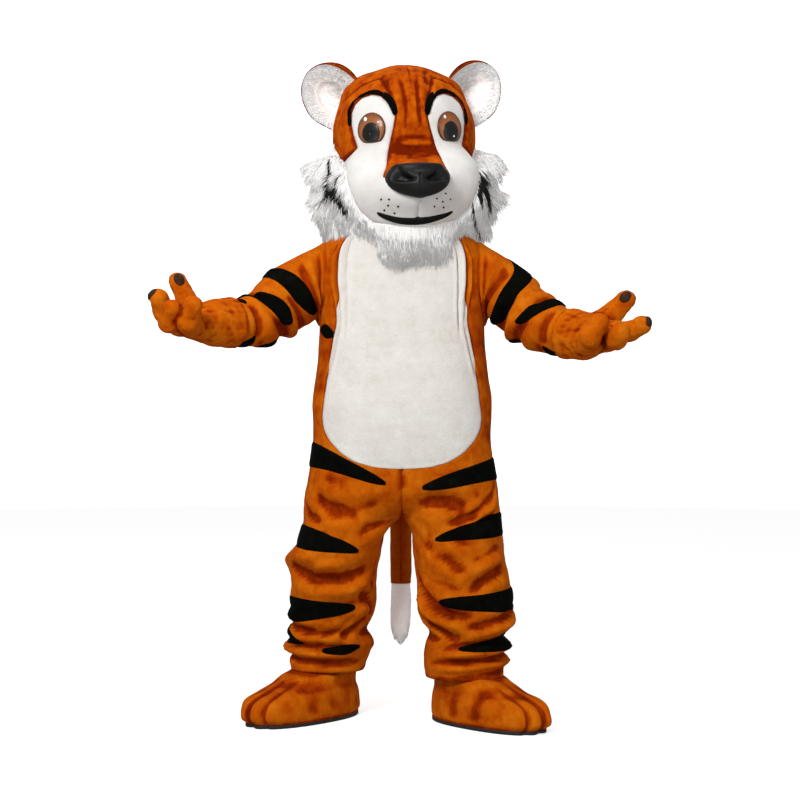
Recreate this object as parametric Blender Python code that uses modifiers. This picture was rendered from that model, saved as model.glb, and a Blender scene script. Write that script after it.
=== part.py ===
"""Tiger mascot costume, worn pose, as hollow sewn pieces: suit, sleeves, gloves, foot covers, tail and head.

Metres, +Z up, -Y is the front, +X is the wearer's left. Tables give heights above the floor; at the end
everything is lowered by HELD_HEIGHT, so that the origin lies between the wearer's shoulders.
"""

import math

import bmesh
import bpy
import numpy as np
from mathutils import Matrix, Vector
from mathutils.bvhtree import BVHTree

HELD_HEIGHT = 1.36  # the suit hangs from the wearer's shoulders here, above the floor
SEAM_GAP = 0.0003  # between neighbouring panels
CLOTH = 0.003  # plush backing with its laid pile
HEAD_WALL = 0.006  # foam-backed plush of the head
APPLIQUE = 0.002  # thickness of a sewn-on stripe
APPLIQUE_LIFT = 0.0008  # a stripe's clearance over the faceted panel under it
EPSILON = 1e-4  # step of the finite differences

RIGHT, LEFT = -1, 1  # the wearer's sides, as the sign of X
SIDES = {"right": RIGHT, "left": LEFT}

ORANGE = (0.42, 0.085, 0.004)
WHITE = (0.80, 0.76, 0.71)
BLACK = (0.006, 0.006, 0.005)
BROWN = (0.16, 0.05, 0.015)
SOLE = (0.012, 0.011, 0.011)
ORANGE_PLUSH = ("orange_plush", ORANGE, 0.85)
WHITE_PLUSH = ("white_plush", WHITE, 0.9)
WHITE_FUR = ("white_fur", WHITE, 0.95)
BLACK_PLUSH = ("black_plush", BLACK, 0.9)


def table(columns, *rows):
    """Named columns of numbers, one row for each section."""
    return dict(zip(columns.split(), np.array(rows, float).T))


# ---------------------------------------------------------------- sizes

TRUNK = table(
    "height half_width front back",
    (0.600, 0.284, 0.150, 0.168),
    (0.665, 0.279, 0.160, 0.175),
    (0.750, 0.266, 0.170, 0.172),
    (0.820, 0.258, 0.178, 0.165),
    (0.940, 0.258, 0.180, 0.152),
    (1.030, 0.247, 0.172, 0.146),
    (1.130, 0.240, 0.158, 0.145),
    (1.220, 0.240, 0.146, 0.145),
    (1.300, 0.243, 0.132, 0.140),
    (1.360, 0.236, 0.118, 0.130),
    (1.400, 0.214, 0.106, 0.119),
    (1.435, 0.170, 0.097, 0.109),
    (1.475, 0.125, 0.088, 0.100),
)
LEGS = {
    RIGHT: table(
        "height inner outer front back",
        (0.155, 0.108, 0.331, 0.025, 0.245),
        (0.200, 0.092, 0.335, 0.003, 0.240),
        (0.235, 0.086, 0.339, -0.012, 0.230),
        (0.265, 0.104, 0.329, -0.025, 0.223),
        (0.300, 0.087, 0.322, -0.042, 0.216),
        (0.360, 0.073, 0.328, -0.070, 0.204),
        (0.420, 0.075, 0.328, -0.097, 0.192),
        (0.476, 0.064, 0.333, -0.118, 0.182),
        (0.520, 0.058, 0.312, -0.132, 0.174),
        (0.560, 0.045, 0.298, -0.142, 0.168),
        (0.600, 0.004, 0.290, -0.150, 0.165),
    ),
    LEFT: table(
        "height inner outer front back",
        (0.147, 0.068, 0.298, -0.075, 0.160),
        (0.200, 0.063, 0.305, -0.084, 0.160),
        (0.235, 0.070, 0.303, -0.092, 0.158),
        (0.265, 0.080, 0.308, -0.100, 0.156),
        (0.300, 0.055, 0.323, -0.108, 0.155),
        (0.360, 0.043, 0.319, -0.120, 0.154),
        (0.420, 0.043, 0.313, -0.130, 0.155),
        (0.476, 0.035, 0.300, -0.138, 0.156),
        (0.520, 0.031, 0.296, -0.144, 0.158),
        (0.560, 0.025, 0.290, -0.150, 0.160),
        (0.600, 0.004, 0.282, -0.155, 0.160),
    ),
}
CROTCH, RISE = 0.600, 0.090  # the crotch's height, and how far its curve climbs
HIP_REACH = 0.120  # away from the crotch, leg and trunk run into each other over twice this height
TRUNK_POWER, LEG_POWER = 0.80, 0.90  # under 1 makes a section fuller than an ellipse
BELLY = table(
    "height half_width",
    (0.7460, 0.004),
    (0.7485, 0.050),
    (0.7590, 0.110),
    (0.7800, 0.157),
    (0.8100, 0.193),
    (0.8450, 0.217),
    (0.8800, 0.226),
    (0.9400, 0.221),
    (1.0300, 0.207),
    (1.1300, 0.189),
    (1.2300, 0.182),
    (1.2900, 0.180),
    (1.3600, 0.176),
    (1.4000, 0.160),
    (1.4350, 0.122),
    (1.4750, 0.085),
)
ARMHOLE = {"height": 1.275, "half_height": 0.125, "half_depth": 0.075}
SLEEVE_COLUMNS = 12
PANEL_COLUMNS = 5
# the armhole's rows are the heights of the sleeve's columns, so that both have the same corners
ARMHOLE_ROWS = [
    ARMHOLE["height"] - ARMHOLE["half_height"] * math.cos(2 * math.pi * i / SLEEVE_COLUMNS)
    for i in range(SLEEVE_COLUMNS // 2 + 1)
]
LEG_ROWS = [0.200, 0.235, 0.265, 0.300, 0.360, 0.420, 0.476, 0.520, 0.560, 0.588, 0.600]
TRUNK_ROWS = [0.6045, 0.620, 0.650, 0.690, *BELLY["height"][:9:1], *ARMHOLE_ROWS, 1.435, 1.475]

# the largest folds: a ridge where depth is positive, a trough where it is negative
FOLDS = {
    RIGHT: table(
        "height turn slope length width depth",
        (0.560, -0.45, 0.06, 0.50, 0.020, -0.008),
        (0.420, -0.40, -0.05, 0.45, 0.016, -0.012),
        (0.300, -0.35, 0.06, 0.55, 0.014, 0.010),
        (0.265, -0.45, -0.03, 0.60, 0.012, -0.012),
        (0.235, -0.60, 0.05, 0.50, 0.012, 0.010),
        (0.420, 0.50, 0.05, 0.40, 0.018, -0.012),
        (0.300, 0.55, -0.05, 0.50, 0.016, 0.010),
        (0.560, 0.50, 0.08, 0.40, 0.020, -0.010),
    ),
    LEFT: table(
        "height turn slope length width depth",
        (0.540, -0.50, -0.08, 0.40, 0.018, -0.010),
        (0.400, -0.45, -0.10, 0.50, 0.018, -0.010),
        (0.300, -0.40, -0.06, 0.55, 0.014, 0.010),
        (0.262, -0.55, 0.03, 0.55, 0.012, -0.014),
        (0.225, -0.55, -0.04, 0.50, 0.014, 0.010),
        (0.450, 0.50, 0.06, 0.40, 0.018, -0.012),
        (0.310, 0.50, -0.05, 0.50, 0.016, 0.010),
        (0.560, 0.45, 0.08, 0.40, 0.020, -0.010),
    ),
}

# a sleeve's centre line and radii, from the armhole to the wrist; x is the distance from the centre plane
SLEEVES = {
    RIGHT: table(
        "x y z up across",
        (0.240, 0.000, 1.275, 0.125, 0.075),
        (0.288, -0.012, 1.265, 0.096, 0.088),
        (0.322, -0.030, 1.237, 0.096, 0.088),
        (0.358, -0.055, 1.205, 0.088, 0.084),
        (0.400, -0.095, 1.172, 0.077, 0.076),
        (0.449, -0.140, 1.158, 0.068, 0.068),
        (0.497, -0.185, 1.154, 0.055, 0.055),
    ),
    LEFT: table(
        "x y z up across",
        (0.240, 0.000, 1.275, 0.125, 0.075),
        (0.292, -0.012, 1.262, 0.093, 0.088),
        (0.322, -0.030, 1.226, 0.087, 0.086),
        (0.352, -0.055, 1.191, 0.083, 0.082),
        (0.392, -0.095, 1.160, 0.080, 0.077),
        (0.438, -0.140, 1.135, 0.069, 0.069),
        (0.486, -0.185, 1.122, 0.055, 0.055),
    ),
}
ARMHOLE_BLEND = 0.35  # share of the sleeve over which its armhole turns into a round tube
SLEEVE_ROWS = 9

# stripes on the suit: a lens round its outer side, from its front tip over the side seam to its back tip
BODY_STRIPES = table(
    "side front_turn front_height side_height back_turn back_height half_width",
    (RIGHT, -0.93, 0.706, 0.783, 0.55, 0.730, 0.027),
    (RIGHT, -0.655, 0.512, 0.552, 0.45, 0.530, 0.024),
    (RIGHT, -0.66, 0.345, 0.334, 0.45, 0.345, 0.028),
    (RIGHT, -0.29, 0.236, 0.252, 0.40, 0.245, 0.020),
    (RIGHT, -0.73, 0.224, 0.216, -0.46, 0.213, 0.011),
    (LEFT, -0.91, 0.694, 0.742, 0.55, 0.720, 0.026),
    (LEFT, -0.685, 0.546, 0.584, 0.45, 0.560, 0.025),
    (LEFT, -0.675, 0.364, 0.366, 0.45, 0.372, 0.026),
    (LEFT, -0.56, 0.230, 0.244, 0.40, 0.240, 0.016),
    (RIGHT, -0.50, 1.114, 1.124, -0.20, 1.130, 0.017),
)
BODY_STRIPE_NAMES = (
    "stripe_hip_right stripe_thigh_right stripe_knee_right stripe_ankle_right stripe_ankle_inner_right "
    "stripe_hip_left stripe_thigh_left stripe_knee_left stripe_ankle_left stripe_side_right"
).split()
# stripes on a sleeve: a lens from one (share of the length, angle) to another; 0 is the front, 90 the top
SLEEVE_STRIPES = table(
    "side start_share start_angle mid_share mid_angle end_share end_angle half_width",
    (RIGHT, 0.315, -44, 0.375, 30, 0.37, 148, 0.023),
    (RIGHT, 0.61, -24, 0.66, 40, 0.82, 112, 0.018),
    (RIGHT, 0.865, 55, 0.872, 82, 0.875, 120, 0.0075),
    (RIGHT, 0.84, -38, 0.87, -80, 0.875, -150, 0.010),
    (RIGHT, 0.69, -50, 0.71, -85, 0.72, -150, 0.010),
    (LEFT, 0.385, -58, 0.40, 25, 0.17, 128, 0.023),
    (LEFT, 0.63, -8, 0.72, 42, 0.77, 120, 0.016),
    (LEFT, 0.57, -58, 0.585, -90, 0.61, -150, 0.010),
    (LEFT, 0.84, -42, 0.87, -78, 0.875, -150, 0.010),
)
SLEEVE_STRIPE_NAMES = (
    "stripe_upper_right stripe_fore_right stripe_wrist_right stripe_wrist_under_right stripe_elbow_right "
    "stripe_upper_left stripe_fore_left stripe_elbow_left stripe_wrist_under_left"
).split()
SLEEVE_LENGTH = 0.33  # metres of sleeve from the armhole to the wrist
STRIPE_COLUMNS = 7

# each glove's bones: from a joint (x0, y0, z0) to the next, with a radius at each end; x from the centre plane
HANDS = {
    RIGHT: table(
        "x0 y0 z0 r0 x1 y1 z1 r1",
        (0.440, -0.134, 1.158, 0.078, 0.520, -0.205, 1.155, 0.066),
        (0.520, -0.205, 1.155, 0.060, 0.580, -0.185, 1.158, 0.036),
        (0.520, -0.205, 1.155, 0.060, 0.622, -0.228, 1.155, 0.034),
        (0.520, -0.205, 1.155, 0.060, 0.608, -0.262, 1.148, 0.034),
        (0.520, -0.205, 1.155, 0.060, 0.572, -0.285, 1.145, 0.034),
        (0.580, -0.185, 1.158, 0.036, 0.602, -0.165, 1.215, 0.028),
        (0.602, -0.165, 1.215, 0.028, 0.628, -0.168, 1.271, 0.027),
        (0.622, -0.228, 1.155, 0.034, 0.655, -0.262, 1.180, 0.028),
        (0.655, -0.262, 1.180, 0.028, 0.666, -0.288, 1.219, 0.026),
        (0.608, -0.262, 1.148, 0.032, 0.632, -0.322, 1.152, 0.028),
        (0.632, -0.322, 1.152, 0.028, 0.620, -0.352, 1.186, 0.027),
        (0.572, -0.285, 1.145, 0.032, 0.578, -0.345, 1.150, 0.028),
        (0.578, -0.345, 1.150, 0.028, 0.562, -0.362, 1.194, 0.027),
    ),
    LEFT: table(
        "x0 y0 z0 r0 x1 y1 z1 r1",
        (0.430, -0.136, 1.136, 0.080, 0.506, -0.205, 1.118, 0.067),
        (0.506, -0.205, 1.118, 0.060, 0.552, -0.178, 1.145, 0.040),
        (0.506, -0.205, 1.118, 0.060, 0.588, -0.232, 1.122, 0.036),
        (0.506, -0.205, 1.118, 0.060, 0.560, -0.265, 1.106, 0.036),
        (0.506, -0.205, 1.118, 0.060, 0.518, -0.290, 1.100, 0.036),
        (0.552, -0.178, 1.150, 0.038, 0.594, -0.168, 1.186, 0.030),
        (0.594, -0.168, 1.186, 0.030, 0.628, -0.172, 1.222, 0.027),
        (0.588, -0.232, 1.122, 0.034, 0.628, -0.262, 1.130, 0.027),
        (0.628, -0.262, 1.130, 0.027, 0.656, -0.286, 1.144, 0.026),
        (0.560, -0.265, 1.106, 0.032, 0.580, -0.330, 1.104, 0.028),
        (0.580, -0.330, 1.104, 0.028, 0.588, -0.358, 1.120, 0.027),
        (0.518, -0.290, 1.100, 0.032, 0.508, -0.345, 1.112, 0.028),
        (0.508, -0.345, 1.112, 0.028, 0.532, -0.352, 1.148, 0.027),
    ),
}
HAND_BLEND = 0.010  # how softly two bones' skins run into each other
GLOVE_VOXEL = 0.014
GLOVE_KEEP = 0.15  # share of the fused skin's triangles that the glove keeps
CUFF_LAP = 0.028  # the glove's cuff reaches this far back over the sleeve
# a fingertip pad faces the wearer's palm: its digit's last bone, and the way it faces
PADS = {"thumb": {"bone": 6, "faces": (0.25, -0.95, 0.20)}, "index": {"bone": 8, "faces": (-0.75, -0.45, 0.45)}}
PAD_RADIUS, PAD_THICKNESS, PAD_COLUMNS = 0.011, 0.002, 8

FEET = {
    RIGHT: {"x": 0.226, "y": 0.140, "yaw": 45.0},
    LEFT: {"x": 0.184, "y": 0.050, "yaw": 45.0},
}
FOOT = {"half_length": 0.206, "half_width": 0.098, "centre_ahead": 0.098, "ankle": 0.080}
FOOT_PROFILE = table(
    "share reach height",
    (0.00, 0.960, 0.0125),
    (0.14, 1.000, 0.036),
    (0.28, 0.960, 0.062),
    (0.44, 0.820, 0.082),
    (0.58, 0.600, 0.099),
    (0.74, 0.310, 0.120),
    (0.87, 0.080, 0.139),
    (1.00, 0.000, 0.190),
)
TOE_GROOVES = table("angle depth width", (-22, 0.020, 7.0), (1, 0.020, 6.0), (24, 0.020, 7.0))
SOLE_THICKNESS = 0.012
FOOT_ANGLES = (-150, -115, -85, -60, -40, -31, -22, -10, 1, 12, 24, 33, 42, 62, 87, 117, 151, 180)
FOOT_ROWS = 7

TAIL = table(
    "x y z radius",
    (-0.003, 0.1692, 0.795, 0.030),
    (-0.003, 0.192, 0.797, 0.034),
    (-0.003, 0.222, 0.788, 0.034),
    (-0.003, 0.237, 0.757, 0.034),
    (-0.003, 0.240, 0.690, 0.033),
    (-0.003, 0.238, 0.550, 0.033),
    (-0.003, 0.238, 0.385, 0.031),
)
TAIL_TIP = table(
    "x y z radius",
    (-0.003, 0.238, 0.3847, 0.029),
    (-0.003, 0.238, 0.330, 0.031),
    (-0.005, 0.234, 0.270, 0.030),
    (-0.005, 0.232, 0.232, 0.022),
    (-0.005, 0.231, 0.208, 0.004),
)
TAIL_COLUMNS = 10

# the head, in its own frame, which is turned a little to the wearer's left
HEAD_CENTRE = np.array([0.010, 0.0, 1.665])
HEAD_YAW, HEAD_ROLL = 6.0, 2.0
HEAD_LUMPS = table(
    "x y z rx ry rz",
    (0.000, 0.030, 0.040, 0.203, 0.215, 0.204),
    (0.000, 0.030, -0.150, 0.190, 0.190, 0.280),
    (0.000, -0.180, -0.140, 0.120, 0.130, 0.086),
    (-0.100, -0.115, -0.120, 0.105, 0.115, 0.110),
    (0.100, -0.115, -0.120, 0.105, 0.115, 0.110),
    (0.000, -0.105, -0.205, 0.120, 0.125, 0.070),
)
HEAD_BLEND = 0.045
HEAD_COLUMNS = 30
HEAD_RINGS = (0, 6, 12, 18, 24, 31, 39, 48, 57, 66, 76, 87, 99, 113, 130)  # degrees above the neck's ring
NECK = {"elevation": -59.0, "front_drop": 3.0, "side_rise": 11.0}  # the ring sits over the shoulders
HEAD_EDGE_OF_FACE = 0.030  # the face pieces end this far behind the head's centre
# outlines of the face pieces seen from the front, as (distance from the centre plane, height)
BRIDGE = (
    (0.000, 0.205), (0.072, 0.190), (0.058, 0.140), (0.045, 0.100), (0.047, 0.066), (0.052, 0.040),
    (0.062, 0.000), (0.072, -0.040), (0.082, -0.080), (0.096, -0.106), (0.070, -0.125), (0.000, -0.125),
)  # fmt: skip
BROW_PANEL = (
    (0.072, 0.190), (0.125, 0.176), (0.177, 0.136), (0.200, 0.070), (0.202, 0.010), (0.184, -0.036),
    (0.150, -0.008), (0.160, 0.030), (0.164, 0.063), (0.161, 0.096), (0.151, 0.119), (0.130, 0.136),
    (0.104, 0.142), (0.082, 0.134), (0.067, 0.116), (0.057, 0.094), (0.047, 0.066), (0.045, 0.100), (0.058, 0.140),
)  # fmt: skip
FACE = (
    (0.000, 0.205), (0.072, 0.190), (0.125, 0.176), (0.177, 0.136), (0.200, 0.070), (0.202, 0.010),
    (0.186, -0.036), (0.190, -0.095), (0.184, -0.130), (0.170, -0.170), (0.150, -0.200), (0.118, -0.226),
    (0.060, -0.240), (0.000, -0.243),
)  # fmt: skip
RUFF = {"front": 36.0, "back": 128.0, "top": 0.040, "fall": 0.045, "reach": 0.072, "beard_reach": 0.028}

CHIN = -0.240  # the beard's fur grows out below this

EYE = {"x": 0.1087, "height": 0.039, "half_width": 0.036, "half_height": 0.046, "dome": 0.006}
PUPIL = {"drop": 0.013, "half_width": 0.0225, "half_height": 0.030, "dome": 0.0015}
NOSE = {"height": -0.121, "half_width": 0.081, "half_height": 0.051, "dome": 0.020}
BROW = table(
    "x height half_width",
    (0.1665, 0.052, 0.0030),
    (0.1650, 0.098, 0.0040),
    (0.1540, 0.1235, 0.0045),
    (0.1320, 0.1415, 0.0055),
    (0.1040, 0.1490, 0.0065),
    (0.0775, 0.1410, 0.0085),
    (0.0585, 0.1210, 0.0100),
    (0.0480, 0.0970, 0.0105),
    (0.0415, 0.0720, 0.0090),
)
BROW_HEIGHT = 0.010
MOUTH = table(
    "x height half_width",
    (-0.108, -0.194, 0.0030),
    (-0.088, -0.2085, 0.0045),
    (-0.061, -0.222, 0.0060),
    (-0.034, -0.230, 0.0065),
    (-0.005, -0.232, 0.0065),
    (0.022, -0.230, 0.0065),
    (0.050, -0.2225, 0.0055),
    (0.080, -0.2115, 0.0045),
    (0.100, -0.200, 0.0030),
)
MOUTH_HEIGHT = 0.006

EAR = {"x": 0.178, "y": 0.020, "height": 0.114, "rise": 0.055, "lean": 38.0, "turn": 16.0}
EAR_SHAPE = {"half_width": 0.083, "half_height": 0.104, "bowl": 0.040, "wall": 0.007, "lining": 0.012}
EAR_COLUMNS, EAR_ROWS = 14, 3


# ---------------------------------------------------------------- curves and surfaces


def smooth(knots, values, at):
    """The cubic curve through a table's rows, read at any place between its ends."""
    knots, values = np.asarray(knots, float), np.asarray(values, float)
    slopes = np.gradient(values, knots, axis=0)
    at = np.clip(np.asarray(at, float), knots[0], knots[-1])
    i = np.clip(np.searchsorted(knots, at, side="right") - 1, 0, len(knots) - 2)
    step = knots[i + 1] - knots[i]
    t = (at - knots[i]) / step
    if values.ndim > 1:
        step, t = step[..., None], t[..., None]
    return (
        (1 + 2 * t) * (1 - t) ** 2 * values[i]
        + t * (1 - t) ** 2 * step * slopes[i]
        + t**2 * (3 - 2 * t) * values[i + 1]
        + t**2 * (t - 1) * step * slopes[i + 1]
    )


def unit(vectors):
    return vectors / np.maximum(np.linalg.norm(vectors, axis=-1, keepdims=True), 1e-12)


def rounded(value, power):
    return np.sign(value) * np.abs(value) ** power


def blend_in(t):
    t = np.clip(t, 0.0, 1.0)
    return t * t * (3 - 2 * t)


def folds_at(side, height, turn):
    """How far the largest folds push the cloth out."""
    out = np.zeros(np.broadcast(height, turn).shape)
    f = FOLDS[side]
    for h, t, slope, length, width, depth in zip(*f.values()):
        across = (height - h - slope * (turn - t)) / width
        along = (turn - t) / length
        out += depth * np.exp(-(across**2) - along**2)
    return out


def body(side, height, turn):
    """Outer face of half the suit. turn goes from -1, at the centre front or the inseam, over 0, at the side
    seam, to 1, at the centre back or the inseam."""
    height, turn = np.broadcast_arrays(np.asarray(height, float), np.asarray(turn, float))
    leg = LEGS[side]
    inner, outer, front, back = (
        smooth(leg["height"], leg[c], height) for c in ("inner", "outer", "front", "back")
    )
    around = turn * math.pi
    leg_x = (outer + inner) / 2 + (outer - inner) / 2 * rounded(np.cos(around), LEG_POWER)
    leg_y = (front + back) / 2 + (back - front) / 2 * rounded(np.sin(around), LEG_POWER)
    half_width, belly, seat = (
        smooth(TRUNK["height"], TRUNK[c], height) for c in ("half_width", "front", "back")
    )
    trunk_x = half_width * rounded(np.cos(around / 2), TRUNK_POWER)
    trunk_y = np.where(turn < 0, belly, seat) * rounded(np.sin(around / 2), TRUNK_POWER)
    climb = np.clip((height - CROTCH) / RISE, 0, 1)
    sharp = 1 - np.sqrt(1 - (1 - climb) ** 2)  # 1 on the leg, 0 on the trunk
    gentle = 1 - blend_in((height - CROTCH + HIP_REACH) / (2 * HIP_REACH))
    at_inseam = np.abs(turn) ** 4
    split = sharp * at_inseam + gentle * (1 - at_inseam)
    x = trunk_x + (leg_x - trunk_x) * split
    y = trunk_y + (leg_y - trunk_y) * split
    push = folds_at(side, height, turn)
    angle = around * (0.5 + 0.5 * split)
    return np.stack([side * (x + push * np.cos(angle)), y + push * np.sin(angle), height], axis=-1)


def armhole_depth(height):
    """How far the armhole reaches from the side seam's plane to the front and the back at this height."""
    level = (height - ARMHOLE["height"]) / ARMHOLE["half_height"]
    return ARMHOLE["half_depth"] * np.sqrt(np.clip(1 - level**2, 0, 1))


def turn_of_depth(depth, height, column):
    """The turn at which the trunk's front or back stands this deep from the centre."""
    share = np.clip(depth / smooth(TRUNK["height"], TRUNK[column], height), 0, 1)
    return np.arcsin(share ** (1 / TRUNK_POWER)) / (math.pi / 2)


def belly_turn(height):
    """The turn of the belly panel's edge, or the centre front below it."""
    half_width = smooth(BELLY["height"], BELLY["half_width"], height)
    share = np.clip(half_width / smooth(TRUNK["height"], TRUNK["half_width"], height), 0, 1)
    edge = np.arccos(share ** (1 / TRUNK_POWER)) / (math.pi / 2)
    return np.where(height < BELLY["height"][0] - EPSILON, 1.0, edge)


def sleeve(side, share, angle):
    """Outer face of a sleeve; share runs from the armhole to the wrist, angle 0 is the front and pi/2 the top."""
    share, angle = np.broadcast_arrays(np.asarray(share, float), np.asarray(angle, float))
    s = SLEEVES[side]
    knots = np.linspace(0, 1, len(s["x"]))
    line = np.stack([side * s["x"], s["y"], s["z"]], axis=-1)

    def centre(at):
        return smooth(knots, line, at)

    within = np.clip(share, 10 * EPSILON, 1 - 10 * EPSILON)
    forward = unit(centre(within + EPSILON) - centre(within - EPSILON))
    up = np.array([0, 0, 1.0]) - forward * forward[..., 2:3]
    up = unit(up)
    ahead = np.array([0, -1.0, 0]) + forward * forward[..., 1:2] + up * up[..., 1:2]
    ahead = unit(ahead)
    tall, deep = smooth(knots, s["up"], share), smooth(knots, s["across"], share)
    tube = (
        centre(share)
        + ahead * (deep * np.cos(angle))[..., None]
        + up * (tall * np.sin(angle))[..., None]
    )
    height = ARMHOLE["height"] + ARMHOLE["half_height"] * np.sin(angle)
    depth = ARMHOLE["half_depth"] * np.abs(np.cos(angle))
    turn = np.where(
        np.cos(angle) > 0, -turn_of_depth(depth, height, "front"), turn_of_depth(depth, height, "back")
    )
    weight = blend_in(share / ARMHOLE_BLEND)[..., None]
    return body(side, height, turn) * (1 - weight) + tube * weight


def foot(side, share, angle):
    """Outer face of a foot cover; share runs from the sole's edge to the ankle, angle 0 points ahead."""
    share, angle = np.broadcast_arrays(np.asarray(share, float), np.asarray(angle, float))
    place = FEET[side]
    degrees = np.degrees((angle + math.pi) % (2 * math.pi) - math.pi)
    groove = sum(
        depth * np.exp(-(((degrees - at) / width) ** 2))
        for at, depth, width in zip(*TOE_GROOVES.values())
    )
    ahead = FOOT["centre_ahead"] + FOOT["half_length"] * rounded(np.cos(angle), 0.9)
    aside = FOOT["half_width"] * rounded(np.sin(angle), 0.8)
    ankle_ahead, ankle_aside = FOOT["ankle"] * np.cos(angle), FOOT["ankle"] * np.sin(angle)
    reach = smooth(FOOT_PROFILE["share"], FOOT_PROFILE["reach"], share)
    height = smooth(FOOT_PROFILE["share"], FOOT_PROFILE["height"], share)
    reach = reach * (1 - groove * blend_in((1 - share) / 0.5) / FOOT["half_length"])
    u = ankle_ahead + (ahead - ankle_ahead) * reach
    v = ankle_aside + (aside - ankle_aside) * reach
    yaw = math.radians(place["yaw"])
    x = place["x"] + u * math.sin(yaw) + v * math.cos(yaw)
    y = place["y"] - u * math.cos(yaw) + v * math.sin(yaw)
    return np.stack([side * x, y, height], axis=-1)


def soft_min(a, b, k):
    h = np.clip(0.5 + 0.5 * (b - a) / k, 0, 1)
    return b + (a - b) * h - k * h * (1 - h)


def head_distance(points):
    """About how far a point of the head's frame lies outside the head."""
    lumps = HEAD_LUMPS
    total = None
    for x, y, z, rx, ry, rz in zip(*lumps.values()):
        radii = np.array([rx, ry, rz])
        q = (points - np.array([x, y, z])) / radii
        k = np.linalg.norm(q, axis=-1)
        d = k * (k - 1) / np.maximum(np.linalg.norm(q / radii, axis=-1), 1e-9)
        total = d if total is None else soft_min(total, d, HEAD_BLEND)
    return total


def gradient(distance, points):
    steps = EPSILON * np.eye(3)
    return unit(np.stack([distance(points + s) - distance(points - s) for s in steps], axis=-1))


def march(distance, start, direction, steps=60):
    """Walks from start along direction until it meets the surface."""
    at = np.array(start, float)
    for _ in range(steps):
        at = at + direction * distance(at)[..., None] * 0.9
    return at


def head_ray(azimuth, elevation):
    """The head's surface in a direction from its centre; azimuth 0 is the front, 90 the wearer's left."""
    direction = np.stack(
        [np.sin(azimuth) * np.cos(elevation), -np.cos(azimuth) * np.cos(elevation), np.sin(elevation)],
        axis=-1,
    )
    return march(head_distance, direction * 0.6, -direction)


def turn_head(vectors):
    """From directions in the head's frame, which looks along -Y, to the costume's."""
    yaw, roll = math.radians(HEAD_YAW), math.radians(HEAD_ROLL)
    tilt = np.array([[math.cos(roll), 0, -math.sin(roll)], [0, 1, 0], [math.sin(roll), 0, math.cos(roll)]])
    swing = np.array([[math.cos(yaw), -math.sin(yaw), 0], [math.sin(yaw), math.cos(yaw), 0], [0, 0, 1]])
    return vectors @ (swing @ tilt).T


def place_on_head(points, normals):
    """Points and normals of the head's frame, in the costume's."""
    return turn_head(points) + HEAD_CENTRE, turn_head(normals)


def inside(outline, x, z):
    """Whether (x, z) lies inside a closed outline."""
    x, z = np.broadcast_arrays(np.asarray(x, float), np.asarray(z, float))
    found = np.zeros(x.shape, bool)
    for (x0, z0), (x1, z1) in zip(outline, outline[1:] + outline[:1]):
        crosses = (z0 > z) != (z1 > z)
        span = z1 - z0 if z1 != z0 else 1e-12
        found ^= crosses & (x < x0 + (z - z0) * (x1 - x0) / span)
    return found


def ruff_top(azimuth):
    """The height of the ruff's upper edge, which falls away behind the ears."""
    return RUFF["top"] - RUFF["fall"] * blend_in((azimuth - 80) / 50)


def head_piece(points):
    """The number of the piece that a point of the head belongs to, in HEAD_PIECES' order."""
    x, y, z = points[..., 0], points[..., 1], points[..., 2]
    side = np.where(x < 0, 0, 1)
    azimuth = np.degrees(np.arctan2(np.abs(x), -y))
    piece = np.zeros(x.shape, int)
    ruff = (z < ruff_top(azimuth)) & (azimuth < RUFF["back"])
    piece = np.where(ruff, 6 + side, piece)
    piece = np.where(ruff & (azimuth < RUFF["front"]), 8, piece)
    front = y < HEAD_EDGE_OF_FACE
    piece = np.where(front & inside(FACE, np.abs(x), z), 4 + side, piece)
    piece = np.where(front & inside(BROW_PANEL, np.abs(x), z), 2 + side, piece)
    return np.where(front & inside(BRIDGE, np.abs(x), z), 1, piece)


HEAD_PIECES = (
    "head_hood forehead_bridge brow_panel_right brow_panel_left face_right face_left "
    "ruff_right ruff_left beard"
).split()


# ---------------------------------------------------------------- meshes


def material(name, colour, roughness):
    found = bpy.data.materials.get(name)
    if found:
        return found
    made = bpy.data.materials.new(name)
    made.use_nodes = True
    shader = made.node_tree.nodes["Principled BSDF"]
    shader.inputs["Base Color"].default_value = (*colour, 1)
    shader.inputs["Roughness"].default_value = roughness
    return made


def finish(obj, look):
    """Colours an object, shades it smooth, and lowers it into the part's frame."""
    obj.data.materials.clear()
    obj.data.materials.append(material(*look))
    obj.data.shade_smooth()
    obj.data.set_sharp_from_angle(angle=math.radians(50))
    obj.location.z = -HELD_HEIGHT
    return obj


def new_object(name, mesh):
    obj = bpy.data.objects.new(name, mesh)
    bpy.data.collections["tiger_mascot_costume"].objects.link(obj)
    return obj


def mesh_of(name, points, faces):
    mesh = bpy.data.meshes.new(name)
    mesh.from_pydata([tuple(p) for p in points], [], [tuple(int(i) for i in f) for f in faces])
    made = bmesh.new()
    made.from_mesh(mesh)
    if made.calc_volume(signed=True) < 0:
        bmesh.ops.reverse_faces(made, faces=made.faces)
    made.to_mesh(mesh)
    made.free()
    return mesh


def grid_faces(rows, columns, around=False):
    """The quads of a net, given as a list of rows; around joins its last column to its first."""
    last = columns if around else columns - 1
    return [
        (r * columns + c, r * columns + (c + 1) % columns, (r + 1) * columns + (c + 1) % columns, (r + 1) * columns + c)
        for r in range(rows - 1)
        for c in range(last)
    ]


def rim_of(faces):
    """The directed edges that only one face uses."""
    edges = {(a, b) for face in faces for a, b in zip(face, face[1:] + face[:1])}
    return [(a, b) for a, b in edges if (b, a) not in edges]


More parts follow.
